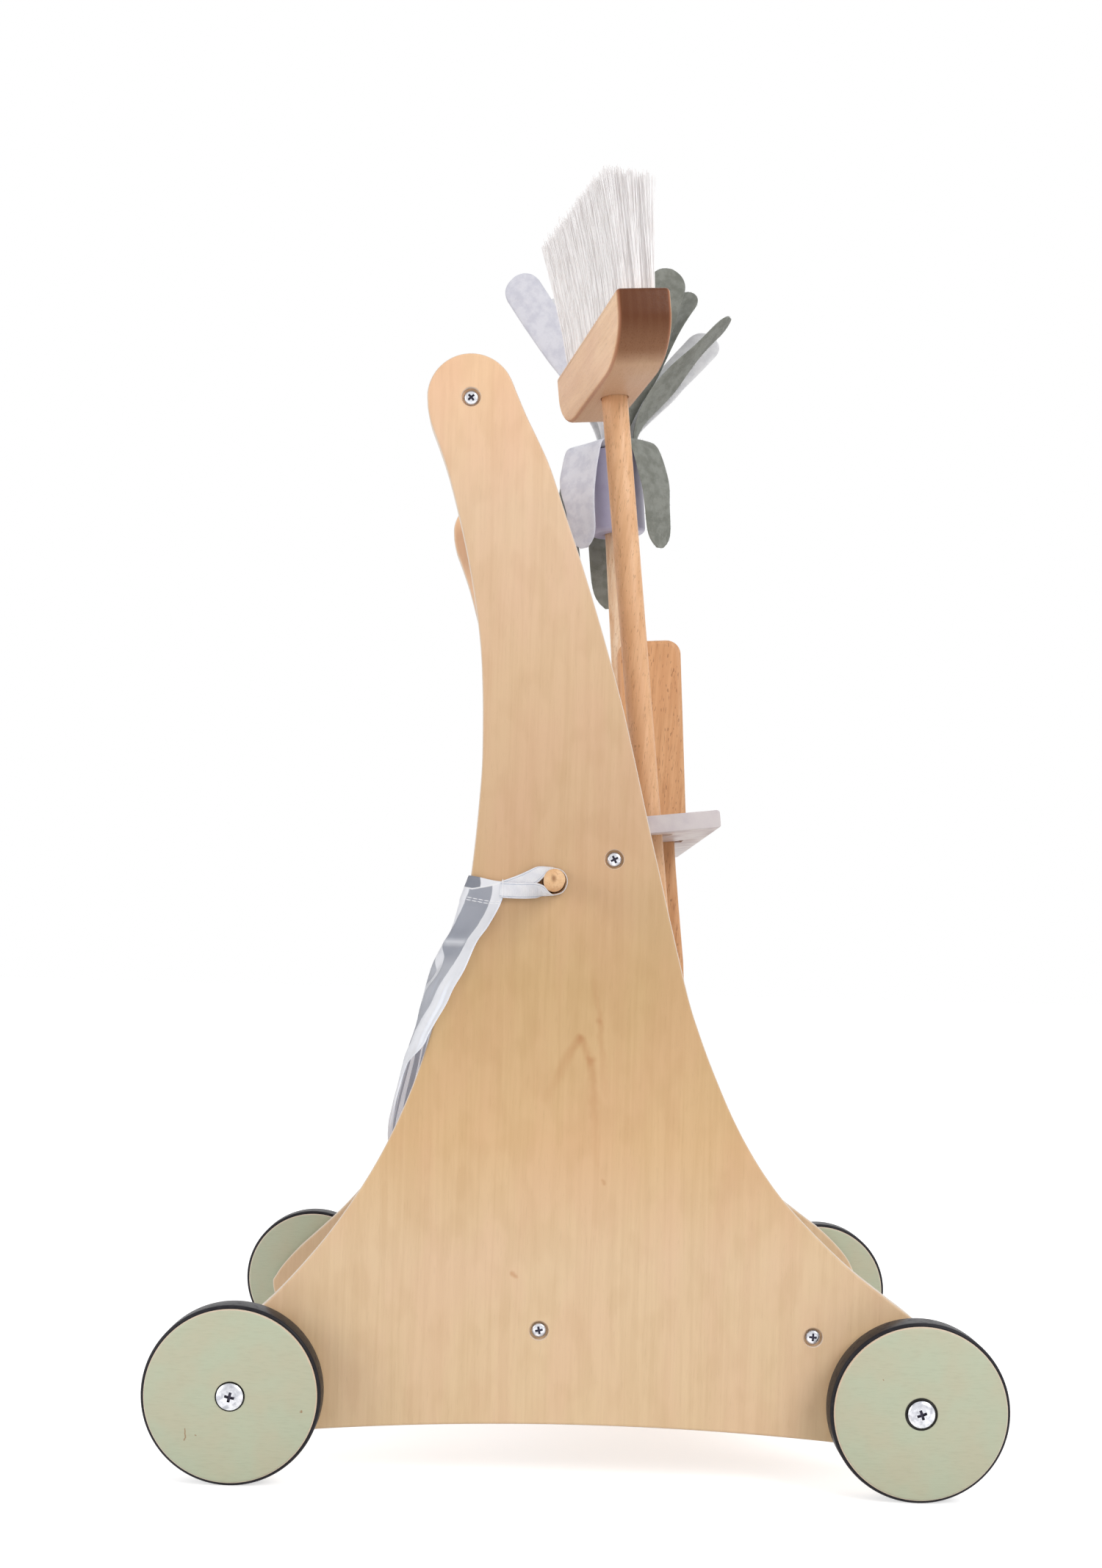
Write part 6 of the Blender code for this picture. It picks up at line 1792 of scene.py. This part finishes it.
def apron_cloth():
    """The hung cloth as two faces with rounded rims, its flat coordinates in the UV map."""
    widest = border_at(0.0)
    rows = []
    for r in range(APRON_ROWS + 1):
        down = r / APRON_ROWS
        level = APRON_TOP - APRON_DROP * down
        border = border_at(down)
        inner = border - APRON_EDGE_REACH
        half = [inner * k / APRON_BACK_COLUMNS for k in range(APRON_BACK_COLUMNS)]
        half += [inner + APRON_EDGE_REACH * k / APRON_EDGE_COLUMNS
                 for k in range(APRON_EDGE_COLUMNS + 1)]
        row = []
        for run in [-run for run in reversed(half[1:])] + half:
            off = border - abs(run)
            flat = flat_reach(off, border, level, widest)
            row.append((apron_spot(run, down, border), off, (flat, down * APRON_DROP),
                        fold_tone(off, level)))
        rows.append(row)
    last_row, last = len(rows) - 1, len(rows[0]) - 1
    bm = bmesh.new()
    layer = bm.loops.layers.uv.new("flat")
    painted_fold_layer = bm.verts.layers.float.new("fold_tone")
    flat_of = {}
    front, back = [], []
    for r, row in enumerate(rows):
        front.append([])
        back.append([])
        for c, (spot, off, uv, tone) in enumerate(row):
            along = row[min(c + 1, last)][0] - row[max(c - 1, 0)][0]
            fall = rows[min(r + 1, last_row)][c][0] - rows[max(r - 1, 0)][c][0]
            normal = along.cross(fall).normalized()
            layers = max(1 - ramp(off, BINDING, BINDING + 0.0004),
                         1 - ramp(uv[1], HEM_DEPTH + STITCH_GAP, HEM_DEPTH + STITCH_GAP + 0.0006),
                         ramp(uv[1], APRON_DROP - BINDING - 0.0004, APRON_DROP - BINDING))
            half = CLOTH_HALF + (HEM_HALF - CLOTH_HALF) * layers
            half *= min(1.0, 0.3 + min(off, uv[1], APRON_DROP - uv[1]) / 0.0008)
            for way, grid in ((1, front), (-1, back)):
                corner = bm.verts.new(spot + normal * way * half)
                corner[painted_fold_layer] = tone
                flat_of[corner] = uv
                grid[-1].append(corner)
    for grid in (front, back):
        for upper, lower in zip(grid, grid[1:]):
            for c in range(last):
                bm.faces.new((upper[c], upper[c + 1], lower[c + 1], lower[c]))
    for c in (0, last):
        for r in range(last_row):
            bm.faces.new((front[r][c], front[r + 1][c], back[r + 1][c], back[r][c]))
    for r in (0, last_row):
        for c in range(last):
            bm.faces.new((front[r][c], front[r][c + 1], back[r][c + 1], back[r][c]))
    bmesh.ops.recalc_face_normals(bm, faces=bm.faces)
    return laid_flat(bm, layer, flat_of), rows


def striped_cotton():
    """White cotton with woven grey stripes, white binding, a turned hem and a fine weave, with
    painted highlights and shade along its folds and a painted glow on its inner side.
    """
    t = new_finish("striped_cotton", 0.9, specular=0.15)
    flat = t.add("ShaderNodeUVMap", uv_map="flat").outputs[0]
    spot = t.axes(flat)
    drift = t.span(t.speckle(flat, DRIFT_SPOTS, 1.0), 0, 1, -WEAVE_DRIFT, WEAVE_DRIFT, "LINEAR")
    across, down = t.sums("ADD", spot["X"], drift), spot["Y"]

    def stripes(start):
        """One on the grey stripes, which begin this far in from the border."""
        phase = t.sums("WRAP", t.sums("SUBTRACT", across, start), STRIPE_GREY + STRIPE_WHITE)
        return t.times(t.span(phase, 0, 0.0004), t.span(phase, STRIPE_GREY + 0.0004, STRIPE_GREY))

    bound = t.span(across, BINDING - 0.0003, BINDING + 0.0001)
    bottom = t.span(down, APRON_DROP - BINDING + 0.0002, APRON_DROP - BINDING - 0.0002)
    colour = t.mix(t.times(stripes(BINDING), t.times(bound, bottom)), COTTON_WHITE, COTTON_GREY)
    # The turned-over strip along the top narrows to the corner, and its stripes lie askew
    hem = t.span(across, 0.0, HEM_RAMP, 0.0, HEM_BAND, "LINEAR")
    below = t.sums("SUBTRACT", down, hem)
    askew = t.mix(t.times(stripes(HEM_STRIPES), bound), COTTON_WHITE, COTTON_DARK)
    colour = t.mix(t.span(below, 0.0001, -0.0001), colour, askew)
    # A painted highlight along the hem's fold line
    fold = t.span(t.sums("ABSOLUTE", below), 0.0005, 0.0001, 0, 0.9)
    colour = t.mix(fold, colour, HEM_FOLD_PAINTED_HIGHLIGHT)
    seam = t.times(t.span(across, 0.0006, 0.0002), t.span(down, 0.0105, 0.0095))
    colour = t.mix(t.times(seam, 0.4), colour, COTTON_GREY)
    shade = t.span(t.speckle(flat, COTTON_CLOUDS, 3.0), 0.35, 0.7, 0.0, 0.16)
    colour = t.mix(shade, colour, COTTON_SHADE, "MULTIPLY")
    # Painted highlight and shade along the folds, read from the mesh
    tone = t.add("ShaderNodeAttribute", attribute_name="fold_tone").outputs["Fac"]
    colour = t.mix(t.span(tone, 0, 1, 0, 1, "LINEAR"), colour, COTTON_WHITE)
    colour = t.mix(t.span(tone, 0, -1, 0, 1, "LINEAR"), colour, COTTON_DARK)
    weave = t.times(t.sums("SINE", t.times(spot["X"], WEAVE)),
                    t.sums("SINE", t.times(down, WEAVE)))
    # Painted light: the inner side glows a little, standing in for daylight that comes through the
    # thin cloth, so it is never quite dark
    through = t.mix(1.0, colour, COTTON_PAINTED_GLOW_TINT, "MULTIPLY")
    inner = t.span(t.axes(t.where("Normal"))["X"], 0.1, 0.7)
    t.feed(t.shader, {"Emission Color": t.mix(inner, (0, 0, 0, 1), through),
                      "Emission Strength": COTTON_PAINTED_GLOW, "Sheen Weight": 0.15})
    return t.dress(colour, None, weave, WEAVE_RELIEF)


bm, apron_rows = apron_cloth()
apron = shown("apron_sheet", bm, striped_cotton(), crease=70)
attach(apron, "cart")
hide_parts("apron")


def stitch_tree():
    """Lay a short waxed stitch along each point's own direction."""
    t, given = new_group("sew_stitches", "GeometryNodeTree", [
        ("Points", "Geometry", None), ("Length", "Float", 0.002), ("Thickness", "Float", 0.0003),
        ("Finish", "Material", None)], [("Stitches", "Geometry")])
    aim = t.add("FunctionNodeAlignRotationToVector", {"Vector": named(t, "heading")}, axis="Z")
    ball = t.add("GeometryNodeMeshUVSphere", {"Segments": 8, "Rings": 6, "Radius": 0.5})
    size = t.combined(given["Thickness"], given["Thickness"], given["Length"])
    copies = t.add("GeometryNodeInstanceOnPoints",
                   {"Points": given["Points"], "Instance": ball.outputs[0],
                    "Rotation": aim.outputs[0], "Scale": size})
    return t.grow(copies.outputs[0], given["Finish"])


def stitched_line(row_at, share, wave):
    """Points along a row of the cloth, a stitch apart, just over its outer face."""
    low = min(int(row_at), APRON_ROWS - 1)
    part = row_at - low
    line = [a[0].lerp(b[0], part) for a, b in zip(apron_rows[low], apron_rows[low + 1])]
    points, way, due = [], 0.0, 0.0
    for start, end in zip(line[2:-2], line[3:]):
        step = end - start
        outward = Vector((0, 0, -1)).cross(step).normalized()
        if abs(start.y) >= APRON_STRAIGHT:
            outward = Vector((min(outward.x, 0),
                              math.copysign(abs(outward.y) + 0.01, start.y), 0)).normalized()
        elif outward.x > 0:
            outward = -outward
        while way + step.length >= due:
            spot = start + step.normalized() * (due - way)
            lift = Vector((0, 0, wave * (1 if len(points) % 2 else -1)))
            points.append((spot + outward * share + lift, step.normalized() + lift * 700))
            due += STITCH_LENGTH * STITCH_PITCH
        way += step.length
    return points


seams = []
for depth in (HEM_DEPTH - STITCH_GAP, HEM_DEPTH):
    seams += stitched_line(depth / APRON_DROP * APRON_ROWS, HEM_HALF, STITCH_WAVE)
for side in SIDES.values():
    corner = apron_rows[0][0 if side < 0 else -1][0]
    seams += [(Vector((corner.x - 0.0005, side * (APRON_MIDDLE + 0.0012),
                       corner.z - CORNER_PITCH * k)), Vector((0, 0, 1)))
              for k in range(CORNER_STITCHES)]
thread = dotted("apron_thread", [spot for spot, _ in seams], heading=[way for _, way in seams])
cotton_thread = new_finish("thread_white", 0.7, specular=0.3)
cotton_thread.feed(cotton_thread.shader, {"Base Color": THREAD_WHITE})
grown(thread, stitch_tree(), length=STITCH_LENGTH, thickness=STITCH_THICKNESS,
      finish=cotton_thread.material)
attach(thread, "cart")

# Ribbon loops
# A loop of white cotton tape is sewn into each top corner of the apron and hooked over a peg.
# The tape lies flat on the panel at the seam, and turns on edge where it goes round the peg.
TAPE_WIDTH = 0.007
TAPE_HALF = 0.00028
TAPE_STEPS = 8
TAPE_COLUMNS = 10
# The tape's run: forward, height and standing-off from the panel in millimetres, and its turn
# in degrees, from flat on the panel (0) to on edge round the peg (90)
TAPE_RUN = (
    (-38.6, 260.9, 2.3, 0), (-33.0, 260.7, 2.2, 0), (-28.0, 260.7, 2.3, 2),
    (-24.0, 260.9, 2.6, 10), (-20.6, 260.8, 3.2, 40), (-17.8, 259.7, 3.9, 72),
    (-15.0, 259.2, 4.3, 90),
    (-11.0, 260.7, 4.3, 90), (-9.2, 265.0, 4.3, 90), (-11.0, 269.2, 4.3, 90),
    (-15.0, 270.8, 4.3, 86), (-18.4, 270.3, 4.0, 66), (-21.4, 268.9, 3.3, 34),
    (-24.6, 266.8, 2.2, 12), (-29.0, 264.6, 1.2, 0), (-34.0, 262.6, 0.9, 0),
    (-38.6, 260.9, 0.9, 0),
)
TAPE_WHITE = srgb(236, 237, 242)
TAPE_LINE = srgb(176, 186, 204)
TAPE_SHADE = srgb(214, 218, 230)
TAPE_RIBS = 12000.0
TAPE_CLOUDS = 220.0


def tape_cloth():
    """Woven cotton tape: fine ribs across it and a faint line inside each edge."""
    t = new_finish("cotton_tape", 0.85, specular=0.2)
    flat = t.add("ShaderNodeUVMap", uv_map="flat").outputs[0]
    spot = t.axes(flat)
    edge = t.sums("ABSOLUTE", t.sums("SUBTRACT", t.sums("ABSOLUTE", spot["Y"]),
                                     TAPE_WIDTH / 2 - 0.0008))
    colour = t.mix(t.span(edge, 0.00025, 0.00005, 0, 0.7), TAPE_WHITE, TAPE_LINE)
    shade = t.span(t.speckle(flat, TAPE_CLOUDS, 2.0), 0.35, 0.7, 0.0, 0.25)
    t.feed(t.shader, {"Sheen Weight": 0.15})
    return t.dress(t.mix(shade, colour, TAPE_SHADE, "MULTIPLY"), None,
                   t.sums("SINE", t.times(spot["X"], TAPE_RIBS)), WEAVE_RELIEF)


def tape(side):
    """The tape swept along its run, as a flat tube with rounded edges."""
    line = eased_line([Vector(row[:3]) / 1000 for row in TAPE_RUN], TAPE_STEPS)
    turns = eased_line([math.radians(row[3]) for row in TAPE_RUN], TAPE_STEPS)
    spots = [Vector((p.x, side * (PANEL_OUTSIDE + p.z), p.y)) for p in line]
    out = Vector((0, side, 0))
    bm = bmesh.new()
    layer = bm.loops.layers.uv.new("flat")
    flat_of, rings, way = {}, [], 0.0
    for index, (spot, turn) in enumerate(zip(spots, turns)):
        before, after = spots[max(index - 1, 0)], spots[min(index + 1, len(spots) - 1)]
        ahead = (after - before).normalized()
        way += (spot - before).length
        wide = ahead.cross(out).normalized() * math.cos(turn) + out * math.sin(turn) * side
        wide.normalize()
        face = ahead.cross(wide).normalized()
        ring = []
        for way_out, across, thick in flat_section(TAPE_COLUMNS):
            corner = bm.verts.new(spot + wide * across * TAPE_WIDTH / 2
                                  + face * way_out * (TAPE_HALF * thick))
            flat_of[corner] = (way, across * TAPE_WIDTH / 2)
            ring.append(corner)
        rings.append(ring)
    skin(bm, rings)
    return laid_flat(bm, layer, flat_of)


tape_white = tape_cloth()
for label, side in SIDES.items():
    loop = shown("ribbon_loop_" + label, tape(side), tape_white, crease=60)
    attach(loop, "cart")
    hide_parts("apron_loop_" + label)
